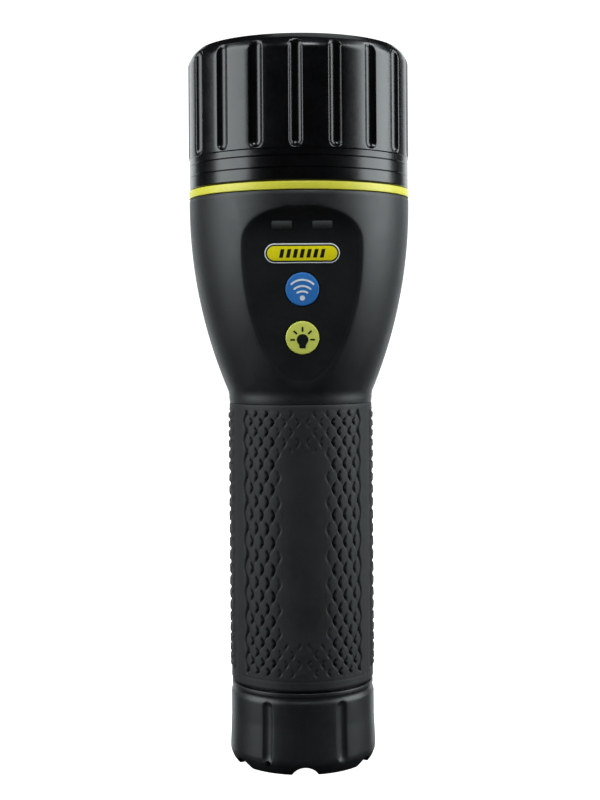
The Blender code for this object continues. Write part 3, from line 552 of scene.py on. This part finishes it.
def makeHousing():
    h = housing
    corners = [(h["bore"], h["foot"]), (17.6, h["foot"], 0.1), (h["tailSpigot"], h["foot"] + 0.5, 0.1)]
    corners += [(h["tailSpigot"], z) for z in rowsBetween(10.8, 20.6, 0.36)]
    corners += [(h["tailSpigot"], h["shoulder"]), (h["core"], h["shoulder"]), (h["core"], h["sleeveHigh"]),
                (h["radius"] - 0.2, h["sleeveHigh"], 0.12), (h["radius"], 106.6), (h["radius"], 107.3)]
    corners += [(flareRadius(z), z) for z in rowsBetween(flare["foot"], flare["top"] - 0.5, 0.75)]
    corners += [(flareRadius(flare["top"]) - 0.25, flare["top"]), (h["headSpigot"], flare["top"]),
                (h["headSpigot"], 168.0), (27.9, 168.0, 0.1), (27.9, 170.0, 0.1)]
    corners += [(h["headSpigot"], z) for z in rowsBetween(170.0, 179.3, 0.36)]
    corners += [(h["headSpigot"] - 0.5, h["spigotTop"]), (h["spigotBore"], h["spigotTop"]),
                (h["spigotBore"], h["ledge"]), (25.5, h["ledge"]), (25.5, 168.4)]
    corners += [(flareRadius(z) - h["wall"], z) for z in rowsBetween(163.0, 112.0, 3.0)]
    corners += [(h["bore"], 104.0), (h["bore"], 91.0), (15.5, 89.4), (15.5, 87.4), (h["bore"], 87.4)]
    bm = startShape(roundedChain(corners))

    def rule(r, heading, z):
        # 44 columns of each side go to the flat, 6 to its crease and 130 round the back
        crease = np.maximum(creaseHeading(z), 9.0)
        side = np.abs(heading)
        zone = h["creaseZone"]
        placed = np.where(side <= 44, side / 44 * (crease - zone),
                          np.where(side <= 50, crease - zone + (side - 44) / 6 * 2 * zone,
                                   crease + zone + (side - 50) / 130 * (180 - crease - zone)))
        heading = np.where(heading < 0, -placed, placed)
        turn = np.cos(np.radians(heading))
        inner = (z > 104.5) & (z < 164) & (r < flareRadius(np.clip(z, 105, 165)) - 1.5)
        outer = (z > 104.9) & (z < 164.7) & ~inner & (r > 20)
        front = turn > 0.3
        safeTurn = np.maximum(turn, 0.3)
        r = np.where(outer & front, softMin(r, panelDepth(z) / safeTurn, h["creaseBlend"]), r)
        r = np.where(inner & front, np.minimum(r, panelDepth(z, h["flatWall"]) / safeTurn), r)
        tailThread = (z > 10.8) & (z < 20.5) & (r > 17.9) & (r < 18.3)
        r = np.where(tailThread, r + threadHeight(heading, z, 11.6, 2.5, 0.65), r)
        r = np.where((z > 170) & (z < 179.4) & (r > 28.8), r + threadHeight(heading, z, 171.0, 2.5, 1.0), r)
        return r, heading, z

    reshape(bm, rule)
    bmesh.ops.recalc_face_normals(bm, faces=bm.faces)
    piece = finishPiece(bm, "mainHousing", "barrel", looks["body_black"], ["main_housing"])
    seat, opening = panelSlab(0.6, -6.0, 1.75, 160.9), panelSlab(2.6, 1.0, 7.0, 159.0)
    return cut(piece, [meshObject(seat, "cutter"), meshObject(opening, "cutter")])


def panelSlab(inset, front, back, high, rows=46, columns=30):
    # a slab that follows the panel, between two depths, and ends inside the barrel by the inset
    levels = [z for z in rowsBetween(panel["foot"], high, 0.35)
              if flareRadius(max(z, flare["foot"])) - inset > float(panelDepth(z)) + 0.02]
    low, top = levels[0], levels[-1]
    bm = bmesh.new()
    bmesh.ops.create_grid(bm, x_segments=columns, y_segments=rows, size=1)
    for v in bm.verts:
        t = 0.5 - 0.5 * math.cos(math.pi * (v.co.y + 1) / 2)
        z = low + (top - low) * t
        depth = float(panelDepth(z))
        radius = flareRadius(max(z, flare["foot"])) - inset
        half = math.sqrt(max(radius ** 2 - depth ** 2, 0.01))
        v.co = (half * math.sin(v.co.x * math.pi / 2), z, 0)
    bmesh.ops.recalc_face_normals(bm, faces=bm.faces)
    made = bmesh.ops.extrude_face_region(bm, geom=bm.faces[:])
    far = {e for e in made["geom"] if isinstance(e, bmesh.types.BMVert)}
    for v in bm.verts:
        inward = back if v in far else front
        v.co = panelSurface(v.co.y, v.co.x, inward)
    bmesh.ops.recalc_face_normals(bm, faces=bm.faces)
    return bm


def panelSurface(z, x, inward):
    # the point of the panel at height z, moved inward along the panel's own normal
    normal = Vector((0, 1, panelSlope(z))).normalized()
    return Vector((x, -float(panelDepth(z)), z)) + normal * inward


makeHousing()
print("housing made")


# Face plate, badge, windows and buttons

plate = {"inset": 0.615, "thick": 1.6, "high": 160.9, "hole": 4.95,
         "windowZ": 155.4, "windowX": 5.65, "window": (5.6, 2.4),
         "badgeZ": 147.6, "badge": (21.0, 5.5), "radioZ": 137.6, "lampZ": 124.0}


def stadium(width, height, low, high, arcSteps=12, edge=0.0):
    # a flat plate with round ends, from height low to high
    bm = bmesh.new()
    radius, reach = height / 2, (width - height) / 2
    start = bmesh.ops.create_vert(bm, co=(reach, -radius, low))["vert"]
    right = bmesh.ops.spin(bm, geom=start, cent=(reach, 0, low), axis=(0, 0, 1), angle=math.pi, steps=arcSteps)
    other = bmesh.ops.create_vert(bm, co=(-reach, radius, low))["vert"]
    left = bmesh.ops.spin(bm, geom=other, cent=(-reach, 0, low), axis=(0, 0, 1), angle=math.pi, steps=arcSteps)
    bm.edges.new((right["geom_last"][0], other[0]))
    bm.edges.new((left["geom_last"][0], start[0]))
    face = bmesh.ops.edgeloop_fill(bm, edges=bm.edges[:])["faces"]
    raised = bmesh.ops.extrude_face_region(bm, geom=face)
    lifted = [e for e in raised["geom"] if isinstance(e, bmesh.types.BMVert)]
    bmesh.ops.translate(bm, vec=(0, 0, high - low), verts=lifted)
    bmesh.ops.recalc_face_normals(bm, faces=bm.faces)
    if edge:
        top = [e for e in bm.edges if all(abs(v.co.z - high) < 1e-4 for v in e.verts) and len(e.link_faces) == 2
               and any(abs(f.normal.z) < 0.5 for f in e.link_faces)]
        bmesh.ops.bevel(bm, geom=top, offset=edge, segments=3, profile=0.5, affect="EDGES", material=-1)
    return bm


def windowPlace(side):
    z = plate["windowZ"]
    return (Matrix.Translation((side * plate["windowX"], -float(panelDepth(z)), z))
            @ Matrix.Rotation(math.pi / 2 + math.atan(panelSlope(z)), 4, "X"))


def boxBlock(size, low, high, edge=0.0):
    bm = bmesh.new()
    bmesh.ops.create_cube(bm, size=1)
    bmesh.ops.scale(bm, vec=(size[0], size[1], high - low), verts=bm.verts)
    bmesh.ops.translate(bm, vec=(0, 0, (high + low) / 2), verts=bm.verts)
    if edge:
        upright = [e for e in bm.edges if abs(e.verts[0].co.z - e.verts[1].co.z) > 0.1]
        bmesh.ops.bevel(bm, geom=upright, offset=edge, segments=4, profile=0.5, affect="EDGES", material=-1)
    return bm


def makeFacePlate():
    bm = panelSlab(plate["inset"], 0.0, plate["thick"], plate["high"], 90, 48)
    bmesh.ops.remove_doubles(bm, verts=bm.verts, dist=0.01)
    piece = finishPiece(bm, "facePlate", "barrel", looks["panel_black"], ["face_plate"], 30)
    cutters = []
    for z in (plate["radioZ"], plate["lampZ"]):
        hole = bmesh.new()
        bmesh.ops.create_cone(hole, cap_ends=True, segments=72, radius1=plate["hole"], radius2=plate["hole"],
                              depth=6)
        bmesh.ops.transform(hole, matrix=panelPlace(z), verts=hole.verts)
        cutters.append(meshObject(hole, "cutter"))
    seat = stadium(plate["badge"][0] + 0.4, plate["badge"][1] + 0.4, -0.8, 3.0)
    bmesh.ops.transform(seat, matrix=panelPlace(plate["badgeZ"]), verts=seat.verts)
    cutters.append(meshObject(seat, "cutter"))
    for side in (-1, 1):
        slot = boxBlock((plate["window"][0] + 0.12, plate["window"][1] + 0.12), -6, 6, 0.35)
        bmesh.ops.transform(slot, matrix=windowPlace(side), verts=slot.verts)
        cutters.append(meshObject(slot, "cutter"))
    return cut(piece, cutters)


makeFacePlate()


def makeWindows():
    for side, tag in ((-1, "left"), (1, "right")):
        bm = boxBlock(plate["window"], -2.9, 0.05, 0.30)
        rim = [e for e in bm.edges if all(v.co.z > -0.1 for v in e.verts)]
        bmesh.ops.bevel(bm, geom=rim, offset=0.14, segments=3, profile=0.5, affect="EDGES", material=-1)
        bmesh.ops.transform(bm, matrix=windowPlace(side), verts=bm.verts)
        finishPiece(bm, f"indicatorWindow_{tag}", "barrel", looks["smoky_window"],
                    [f"indicator_window_{tag}"])


makeWindows()

badge = {"rim": 0.29, "line": 0.43, "bars": 7, "barWidth": 1.05, "barGap": 1.9, "barHeight": 2.4, "slant": 0.22}


def makeBadge():
    width, height = plate["badge"]
    place = panelPlace(plate["badgeZ"])
    layers = [("badgeRim", 0.0, -0.65, 0.12, whiteInk, ["nameplate"]),
              ("badgeLine", badge["rim"], 0.05, 0.15, blackInk, []),
              ("badgeField", badge["rim"] + badge["line"], 0.08, 0.19, looks["yellow_badge"], [])]
    for name, inset, low, high, look, nodes in layers:
        bm = stadium(width - 2 * inset, height - 2 * inset, low, high, 16, 0.05)
        bmesh.ops.transform(bm, matrix=place, verts=bm.verts)
        finishPiece(bm, name, "barrel", look, nodes)
    bars = bmesh.new()
    for i in range(badge["bars"]):
        made = bmesh.ops.create_cube(bars, size=1)["verts"]
        bmesh.ops.scale(bars, vec=(badge["barWidth"], badge["barHeight"], 0.05), verts=made)
        for v in made:
            v.co.x += v.co.y * badge["slant"] + (i - (badge["bars"] - 1) / 2) * badge["barGap"]
            v.co.z += 0.195
    bmesh.ops.transform(bars, matrix=place, verts=bars.verts)
    finishPiece(bars, "badgeBars", "barrel", blackInk)


makeBadge()

key = {"radius": 4.7, "face": 0.35, "dome": 0.12, "flange": 5.6, "stroke": 0.112, "lift": 0.06}


def makeKey(name, z, body, slot, node):
    rim, top = key["radius"], key["face"]
    dome = [(rim * t, top - key["dome"] * t ** 2.2) for t in (0, 0.15, 0.3, 0.45, 0.6, 0.72, 0.82, 0.9)]
    corners = [(*p, 0) for p in dome] + [(rim, top - key["dome"] - 0.02, 0.3), (rim, -1.8),
                                         (key["flange"], -1.8, 0.1), (key["flange"], -2.6, 0.1),
                                         (1.5, -2.6), (1.5, -3.7), (0, -3.7)]
    bm = startShape(roundedChain(corners, closed=False), 96, closed=False)
    bmesh.ops.transform(bm, matrix=panelPlace(z), verts=bm.verts)
    return finishPiece(bm, name, body, looks[slot], [node])


def strokeArc(bm, centre, radius, half, width):
    # a flat arc with round ends, opening downwards; sizes are in key radii
    size = key["radius"]
    outer, inner = (radius + width / 2) * size, (radius - width / 2) * size
    cx, cy = centre[0] * size, centre[1] * size
    tip = math.pi / 2 - half
    start = bmesh.ops.create_vert(bm, co=(cx + outer * math.cos(tip), cy + outer * math.sin(tip), 0))["vert"]
    along = bmesh.ops.spin(bm, geom=start, cent=(cx, cy, 0), axis=(0, 0, 1), angle=2 * half,
                           steps=24)["geom_last"]
    endMid = radius * size
    far = (cx - endMid * math.cos(tip), cy + endMid * math.sin(tip), 0)
    turned = bmesh.ops.spin(bm, geom=along, cent=far, axis=(0, 0, 1), angle=math.pi, steps=6)["geom_last"]
    back = bmesh.ops.spin(bm, geom=turned, cent=(cx, cy, 0), axis=(0, 0, 1), angle=-2 * half,
                          steps=24)["geom_last"]
    near = (cx + endMid * math.cos(tip), cy + endMid * math.sin(tip), 0)
    bmesh.ops.spin(bm, geom=back, cent=near, axis=(0, 0, 1), angle=math.pi, steps=6)


def strokeLine(bm, first, last, width):
    size = key["radius"]
    a, b = Vector((*first, 0)) * size, Vector((*last, 0)) * size
    side = (b - a).normalized().cross(Vector((0, 0, 1))) * width * size / 2
    start = bmesh.ops.create_vert(bm, co=a + side)["vert"]
    far = bmesh.ops.create_vert(bm, co=b + side)["vert"]
    bm.edges.new((start[0], far[0]))
    turned = bmesh.ops.spin(bm, geom=far, cent=b, axis=(0, 0, 1), angle=math.pi, steps=6)["geom_last"]
    back = bmesh.ops.create_vert(bm, co=a - side)["vert"]
    bm.edges.new((turned[0], back[0]))
    bmesh.ops.spin(bm, geom=back, cent=a, axis=(0, 0, 1), angle=math.pi, steps=6)


def fillOutlines(bm):
    # closes the outlines, gives them a little thickness and lays them on the domed key
    bmesh.ops.remove_doubles(bm, verts=bm.verts, dist=1e-3)
    faces = bmesh.ops.edgeloop_fill(bm, edges=bm.edges[:])["faces"]
    bmesh.ops.triangulate(bm, faces=[f for f in faces if len(f.verts) > 4])
    raised = bmesh.ops.extrude_face_region(bm, geom=bm.faces[:])
    lifted = {e for e in raised["geom"] if isinstance(e, bmesh.types.BMVert)}
    for v in bm.verts:
        t = math.hypot(v.co.x, v.co.y) / key["radius"]
        v.co.z = key["face"] - key["dome"] * t ** 2.2 + (key["lift"] if v in lifted else -0.12)
    bmesh.ops.recalc_face_normals(bm, faces=bm.faces)


def makeRadioMark():
    bm = bmesh.new()
    for reach, ends, peak in ((0.66, 0.31, 0.57), (0.48, 0.02, 0.20), (0.30, -0.20, -0.12)):
        rise = peak - ends
        radius = (reach ** 2 + rise ** 2) / (2 * rise)
        strokeArc(bm, (0, peak - radius), radius, math.asin(reach / radius), key["stroke"])
    dot = bmesh.ops.create_circle(bm, segments=32, radius=0.155 * key["radius"])["verts"]
    bmesh.ops.translate(bm, vec=(0, -0.52 * key["radius"], 0), verts=dot)
    fillOutlines(bm)
    bmesh.ops.transform(bm, matrix=panelPlace(plate["radioZ"]), verts=bm.verts)
    finishPiece(bm, "radioMark", "radio_key", whiteInk)


def makeLampMark():
    bm = bmesh.new()
    size = key["radius"]
    globe, neck, foot, middle = 0.345 * size, 0.195 * size, -0.62 * size, -0.10 * size
    opening = math.acos(neck * 1.1 / globe)
    shoulder = (globe * math.cos(-opening), middle + globe * math.sin(-opening), 0)
    start = bmesh.ops.create_vert(bm, co=shoulder)["vert"]
    last = bmesh.ops.spin(bm, geom=start, cent=(0, middle, 0), axis=(0, 0, 1), angle=math.pi + 2 * opening,
                          steps=28)["geom_last"]
    outline = [last[0]] + [bmesh.ops.create_vert(bm, co=place)["vert"][0] for place in
                           ((-neck, middle - globe * 1.05, 0), (-neck, foot + 0.06 * size, 0),
                            (-neck * 0.7, foot, 0), (neck * 0.7, foot, 0), (neck, foot + 0.06 * size, 0),
                            (neck, middle - globe * 1.05, 0))]
    for pair in zip(outline, outline[1:] + start):
        bm.edges.new(pair)
    for angle in (-2, 44, 90, 136, 182):
        ray = Vector((math.cos(math.radians(angle)), math.sin(math.radians(angle))))
        centre = Vector((0, -0.08))
        strokeLine(bm, centre + ray * 0.50, centre + ray * 0.70, 0.105)
    fillOutlines(bm)
    bmesh.ops.transform(bm, matrix=panelPlace(plate["lampZ"]), verts=bm.verts)
    finishPiece(bm, "lampMark", "lamp_key", blackInk)


makeKey("radioKey", plate["radioZ"], "radio_key", "radio_blue", "radio_button")
makeKey("lampKey", plate["lampZ"], "lamp_key", "lamp_lime", "lamp_button")
makeRadioMark()
makeLampMark()
print("panel made")


# Grip sleeve: a moulded lattice with deep pits, framed by smooth bands

grip = {"low": 23.8, "high": 104.95, "inner": 19.3, "radius": 20.95,
        # the lattice: columns in degrees, rows closer together towards both ends
        "pitchAngle": 5.0806, "shift": 0.4286, "rowStretch": 0.016795, "rowPitch": 0.1310, "rowMiddle": 65.7,
        "groove": 0.10, "grooveWide": 0.20, "pit": 0.75, "leg": 0.32, "legWidth": 0.115, "crown": 0.07,
        # where the lattice ends, in front, at the sides, above and below, and round the smooth middle
        "frontEdge": 51.7, "edgeWave": 1.1, "frameDepth": 0.75, "sideFrom": 71.5, "sideLift": 0.30,
        "textureLow": 27.8, "textureHigh": 103.0, "clearAngle": 16.6, "clearHeight": 27.0, "clearMiddle": 64.5,
        # mesh columns, thinned out in the smooth bands, and mesh rows
        "columns": 456, "evenly": (0, 59.21, 67.105, 90), "placed": (0, 54.435, 68.95, 90), "rowsPerCell": 16}


def gripRows(z):
    g = grip
    return np.arctanh(np.clip(g["rowStretch"] * (z - g["rowMiddle"]), -0.95, 0.95)) / g["rowPitch"]


def latticeRelief(heading, z):
    # height of the diamond relief in millimetres, 0 at the studs; v counts the rows of studs
    g = grip
    columns = np.abs(heading) / g["pitchAngle"] + g["shift"]
    rows = gripRows(z)
    a, b = (columns + 2 * rows) / 2, (columns - 2 * rows) / 2
    most = np.maximum(np.abs(a - np.round(a)), np.abs(b - np.round(b)))
    seam = 1 - smoothStep(0, g["grooveWide"], 1 - 2 * most)
    # a pit is a chevron: two short legs along the seams that meet at a corner of the diamonds
    fa, fb = a - np.floor(a) - 0.5, b - np.floor(b) - 0.5
    first = np.hypot(fa, fb - np.clip(fb, 0, g["leg"]))
    second = np.hypot(fb, fa - np.clip(fa, 0, g["leg"]))
    pit = 1 - smoothStep(g["legWidth"] * 0.3, g["legWidth"], np.minimum(first, second))
    return -g["groove"] * seam - g["pit"] * pit + g["crown"] * (1 - 4 * most ** 2), rows


def makeGrip():
    g = grip
    step = 1 / g["rowsPerCell"]
    levels = [g["rowMiddle"] + math.tanh(g["rowPitch"] * k * step) / g["rowStretch"]
              for k in range(-7 * g["rowsPerCell"], 7 * g["rowsPerCell"] + 1)]
    levels = [z for z in levels if g["low"] + 0.7 < z < g["high"] - 0.6]
    profile = [(g["inner"], g["low"]), (g["radius"] - 0.5, g["low"]), (g["radius"] - 0.22, g["low"] + 0.1),
               (g["radius"] - 0.1, g["low"] + 0.35)]
    profile += [(g["radius"] + 0.1 * (z - g["low"]) / (g["high"] - g["low"]), z) for z in levels]
    profile += [(g["radius"] + 0.05, g["high"] - 0.2), (g["radius"] - 0.02, g["high"] - 0.06),
                (g["radius"] - 0.14, g["high"]), (g["inner"], g["high"])]
    bm = startShape(profile, g["columns"])

    def rule(r, heading, z):
        heading = placeColumns(heading, 180.0, 0.0, g["evenly"], g["placed"])
        face = (r > g["radius"] - 0.001)
        front = np.abs(heading)
        nearest = np.minimum(front, 180 - front)
        relief, rows = latticeRelief(nearest, z)
        edge = g["frontEdge"] + g["edgeWave"] * np.cos(2 * np.pi * rows)
        inFront = 1 - smoothStep(-0.9, 0.1, nearest - edge)
        onSide = smoothStep(g["sideFrom"] - 0.5, g["sideFrom"] + 0.7, nearest)
        clear = np.maximum(front / g["clearAngle"], np.abs(z - g["clearMiddle"]) / g["clearHeight"])
        faint = 0.38 + 0.62 * smoothStep(20, 21.5, front)
        fade = np.where(front < 90, smoothStep(0.99, 1.03, clear) * faint, 1.0)
        ends = smoothStep(g["textureLow"] - 0.4, g["textureLow"] + 0.4, z)
        ends = ends * (1 - smoothStep(g["textureHigh"] - 0.4, g["textureHigh"] + 0.4, z))
        frame = (np.exp(-((nearest - edge + 0.1) / 0.68) ** 2) * g["frameDepth"]
                 + np.exp(-((nearest - g["sideFrom"]) / 0.6) ** 2) * 0.3) * ends
        parting = np.exp(-((nearest - 61.5) / 0.45) ** 2) * 0.10 * (0.4 + 0.6 * (1 - smoothStep(30, 50, z)))
        collar = np.exp(-((z - 26.6) / 0.22) ** 2) * 0.06
        halfRows = np.abs(2 * rows - np.round(2 * rows))
        scallops = smoothStep(75, 79, nearest) * (1 - smoothStep(0.10, 0.26, halfRows)) * 0.42 * ends
        shape = relief * (inFront * fade + onSide * 1.25) * ends + onSide * g["sideLift"] * ends - frame - parting
        return np.where(face, r + shape - collar - scallops, r), heading, z

    reshape(bm, rule)
    bmesh.ops.recalc_face_normals(bm, faces=bm.faces)
    return finishPiece(bm, "gripSleeve", "barrel", looks["rubber"], ["grip_sleeve"], 60)


makeGrip()
print("grip made")


# Tail cap: six grooves with round ends, six notches in its foot and a lanyard hole

tail = {"top": 23.3, "recess": 17.4, "rimDepth": 5.0, "floor": 7.4,
        "bore": 19.05, "sealBore": 19.65, "sealFloor": 21.9, "radius": 21.15, "skirt": 21.5,
        "grooves": 6, "toolRadius": 2.3, "toolOffset": 1.7, "grooveLow": 4.6, "grooveHigh": 19.0, "lip": 0.22,
        "notchWidth": 7.6, "notchHeight": 2.5, "holeRadius": 0.9, "holeZ": 3.0,
        "columns": (0, 0.9, 1.8, 2.6, 3.3, 3.8, 4.2, 4.6, 5.1, 5.9, 7.2, 9.2, 12.0, 16.0, 20.0, 24.0, 27.0, 30.0)}


def makeTailCap():
    t = tail
    corners = [(0, t["rimDepth"]), (t["recess"], t["rimDepth"], 0.3), (t["recess"], 0.3), (t["recess"] + 0.3, 0, 0),
               (19.7, 0, 0.3), (20.6, 1.1, 0.8), (21.4, 3.1, 0.8), (t["skirt"], 4.4, 0.6)]
    taper = (t["skirt"] - t["radius"]) / 9.2
    corners += [(t["skirt"] - taper * (z - 4.4), z) for z in rowsBetween(4.9, 13.6, 0.55)]
    corners += [(t["radius"], z) for z in rowsBetween(14.0, 19.8, 0.4)]
    corners += [(21.1, 20.4, 0.3), (20.72, 21.2, 0.4), (20.7, 21.8, 0.2), (20.85, 22.3, 0.15),
                (20.85, t["top"] - 0.15, 0.12), (20.6, t["top"]), (t["sealBore"], t["top"]),
                (t["sealBore"], t["sealFloor"])]
    corners += [(t["bore"], z) for z in rowsBetween(t["sealFloor"], 11.5, 0.4)]
    corners += [(t["bore"], t["floor"]), (0, t["floor"])]
    bm = startShape(roundedChain(corners, closed=False), t["grooves"] * 34, closed=False)
    width = 360 / t["grooves"]

    def rule(r, heading, z):
        placed = placeColumns(heading, width, width / 2, np.linspace(0, width / 2, 18), t["columns"])
        across = np.abs(r * np.sin(np.radians(fromSectorMiddle(placed, width, width / 2))))
        along = np.maximum(np.maximum(t["grooveLow"] - z, z - t["grooveHigh"]), 0)
        away = np.sqrt(across ** 2 + along ** 2)
        tool = np.sqrt(np.maximum(t["toolRadius"] ** 2 - away ** 2, 0.3)) - t["toolOffset"]
        depth = np.maximum(softMax(tool, 0, t["lip"]) - 0.006, 0)
        depth = depth * smoothStep(t["grooveLow"] - 3.5, t["grooveLow"] + 1, z)
        wall = (r > 20.0) & (z > 2.5) & (z < 21.6)
        r = np.where(wall, r - depth, r)
        inBore = (r < 19.3) & (r > 18.7) & (z > 11.4) & (z < 21.5)
        r = np.where(inBore, r - threadHeight(heading, z, 13.1, 1.5, 0.6), r)
        return r, placed, z

    reshape(bm, rule)
    bmesh.ops.recalc_face_normals(bm, faces=bm.faces)
    piece = finishPiece(bm, "tailCap", "tail", looks["tail_black"], ["tail_cap"], 38)
    notchRadius = (t["notchWidth"] ** 2 / 4 + t["notchHeight"] ** 2) / (2 * t["notchHeight"])
    notches = [roundCutter(notchRadius, 8, 96, width * i, 19.6, t["notchHeight"] - notchRadius)
               for i in range(t["grooves"])]
    return cut(piece, notches + [roundCutter(t["holeRadius"], 6, 32, -width / 2, 19.0, t["holeZ"])])


def roundCutter(radius, length, segments, heading, away, z):
    # a lying cylinder that points at the axis
    bm = bmesh.new()
    bmesh.ops.create_cone(bm, cap_ends=True, segments=segments, radius1=radius, radius2=radius, depth=length)
    place = (Matrix.Rotation(math.radians(heading), 4, "Z") @ Matrix.Translation((0, -away, z))
             @ Matrix.Rotation(math.pi / 2, 4, "X"))
    bmesh.ops.transform(bm, matrix=place, verts=bm.verts)
    return meshObject(bm, "cutter")


makeTailCap()
print("tail made")


# Studio: pale floor, white surround, softboxes at the sides and above

studio = {"distance": 0.4278, "height": 0.1253, "heading": -1.7, "lens": 64.8, "roll": -0.44, "shift": -0.0834,
          "surround": 4.0, "white": 1.15, "lightColour": (0.91, 0.98, 1.0)}
lamps = {
    # heading, elevation, distance, width, height, power in watts
    "leftSoftbox": (-75, 22, 1.1, 0.84, 1.35, 16.8),
    "rightSoftbox": (85, 23, 1.1, 0.88, 1.3, 20),
    "topSoftbox": (160, 68, 1.1, 0.6, 0.5, 0.7),
    "backPanel": (180, 0, 1.0, 1.7, 1.0, 8.5),
    "frontKey": (6, 50, 1.1, 0.35, 0.30, 3.8),
    "lowFill": (0, -20, 1.1, 2.2, 0.6, 0.25),
}


def glowing(name, colour, strength):
    material = bpy.data.materials.new(name)
    material.use_nodes = True
    surface = material.node_tree.nodes["Principled BSDF"]
    surface.inputs["Base Color"].default_value = (*colour, 1)
    surface.inputs["Roughness"].default_value = 0.9
    surface.inputs["Emission Color"].default_value = (1, 1, 1, 1)
    surface.inputs["Emission Strength"].default_value = strength
    return material


def makeStudio():
    white = glowing("studioWhite", (0.85, 0.85, 0.85), studio["white"])
    bm = bmesh.new()
    bmesh.ops.create_circle(bm, cap_ends=True, segments=96, radius=studio["surround"])
    bmesh.ops.translate(bm, vec=(0, 0, -0.0002), verts=bm.verts)
    floor = stagePiece(bm, "floor", white)
    bm = bmesh.new()
    bmesh.ops.create_uvsphere(bm, u_segments=64, v_segments=32, radius=studio["surround"] * 1.02)
    bmesh.ops.reverse_faces(bm, faces=bm.faces)
    surround = stagePiece(bm, "surround", white)
    for piece in (floor, surround):
        piece.visible_glossy = False
        piece.visible_diffuse = False
        piece.visible_shadow = False
    for name, (heading, elevation, distance, width, height, power) in lamps.items():
        light = bpy.data.lights.new(name, "AREA")
        light.shape, light.size, light.size_y, light.energy = "RECTANGLE", width, height, power
        light.color = studio["lightColour"]
        lamp = bpy.data.objects.new(name, light)
        bpy.context.scene.collection.objects.link(lamp)
        a, e = math.radians(heading), math.radians(elevation)
        away = Vector((math.sin(a) * math.cos(e), -math.cos(a) * math.cos(e), math.sin(e)))
        lamp.location = Vector((0, 0, 0.104)) + away * distance
        lamp.rotation_euler = away.to_track_quat("Z", "Y").to_euler()
        lamp.visible_camera = False


def stagePiece(bm, name, look):
    obj = meshObject(bm, name, 1)
    obj.data.materials.append(look)
    return obj


makeStudio()
world = bpy.data.worlds.new("studioAir")
world.use_nodes = True
world.node_tree.nodes["Background"].inputs["Color"].default_value = (0.9, 0.95, 1.0, 1)
world.node_tree.nodes["Background"].inputs["Strength"].default_value = 0.015
bpy.context.scene.world = world
bpy.context.scene.view_settings.view_transform = "Standard"

camera = bpy.data.objects.new("camera", bpy.data.cameras.new("camera"))
bpy.context.scene.collection.objects.link(camera)
turn = math.radians(studio["heading"])
camera.location = (studio["distance"] * math.sin(turn), -studio["distance"] * math.cos(turn), studio["height"])
camera.rotation_euler = (Matrix.Rotation(turn, 4, "Z") @ Matrix.Rotation(math.pi / 2, 4, "X")
                         @ Matrix.Rotation(math.radians(studio["roll"]), 4, "Z")).to_euler()
camera.data.shift_y = studio["shift"]
camera.data.lens = studio["lens"]
camera.data.sensor_width = 36.0
camera.data.clip_start = 0.01
bpy.context.scene.camera = camera
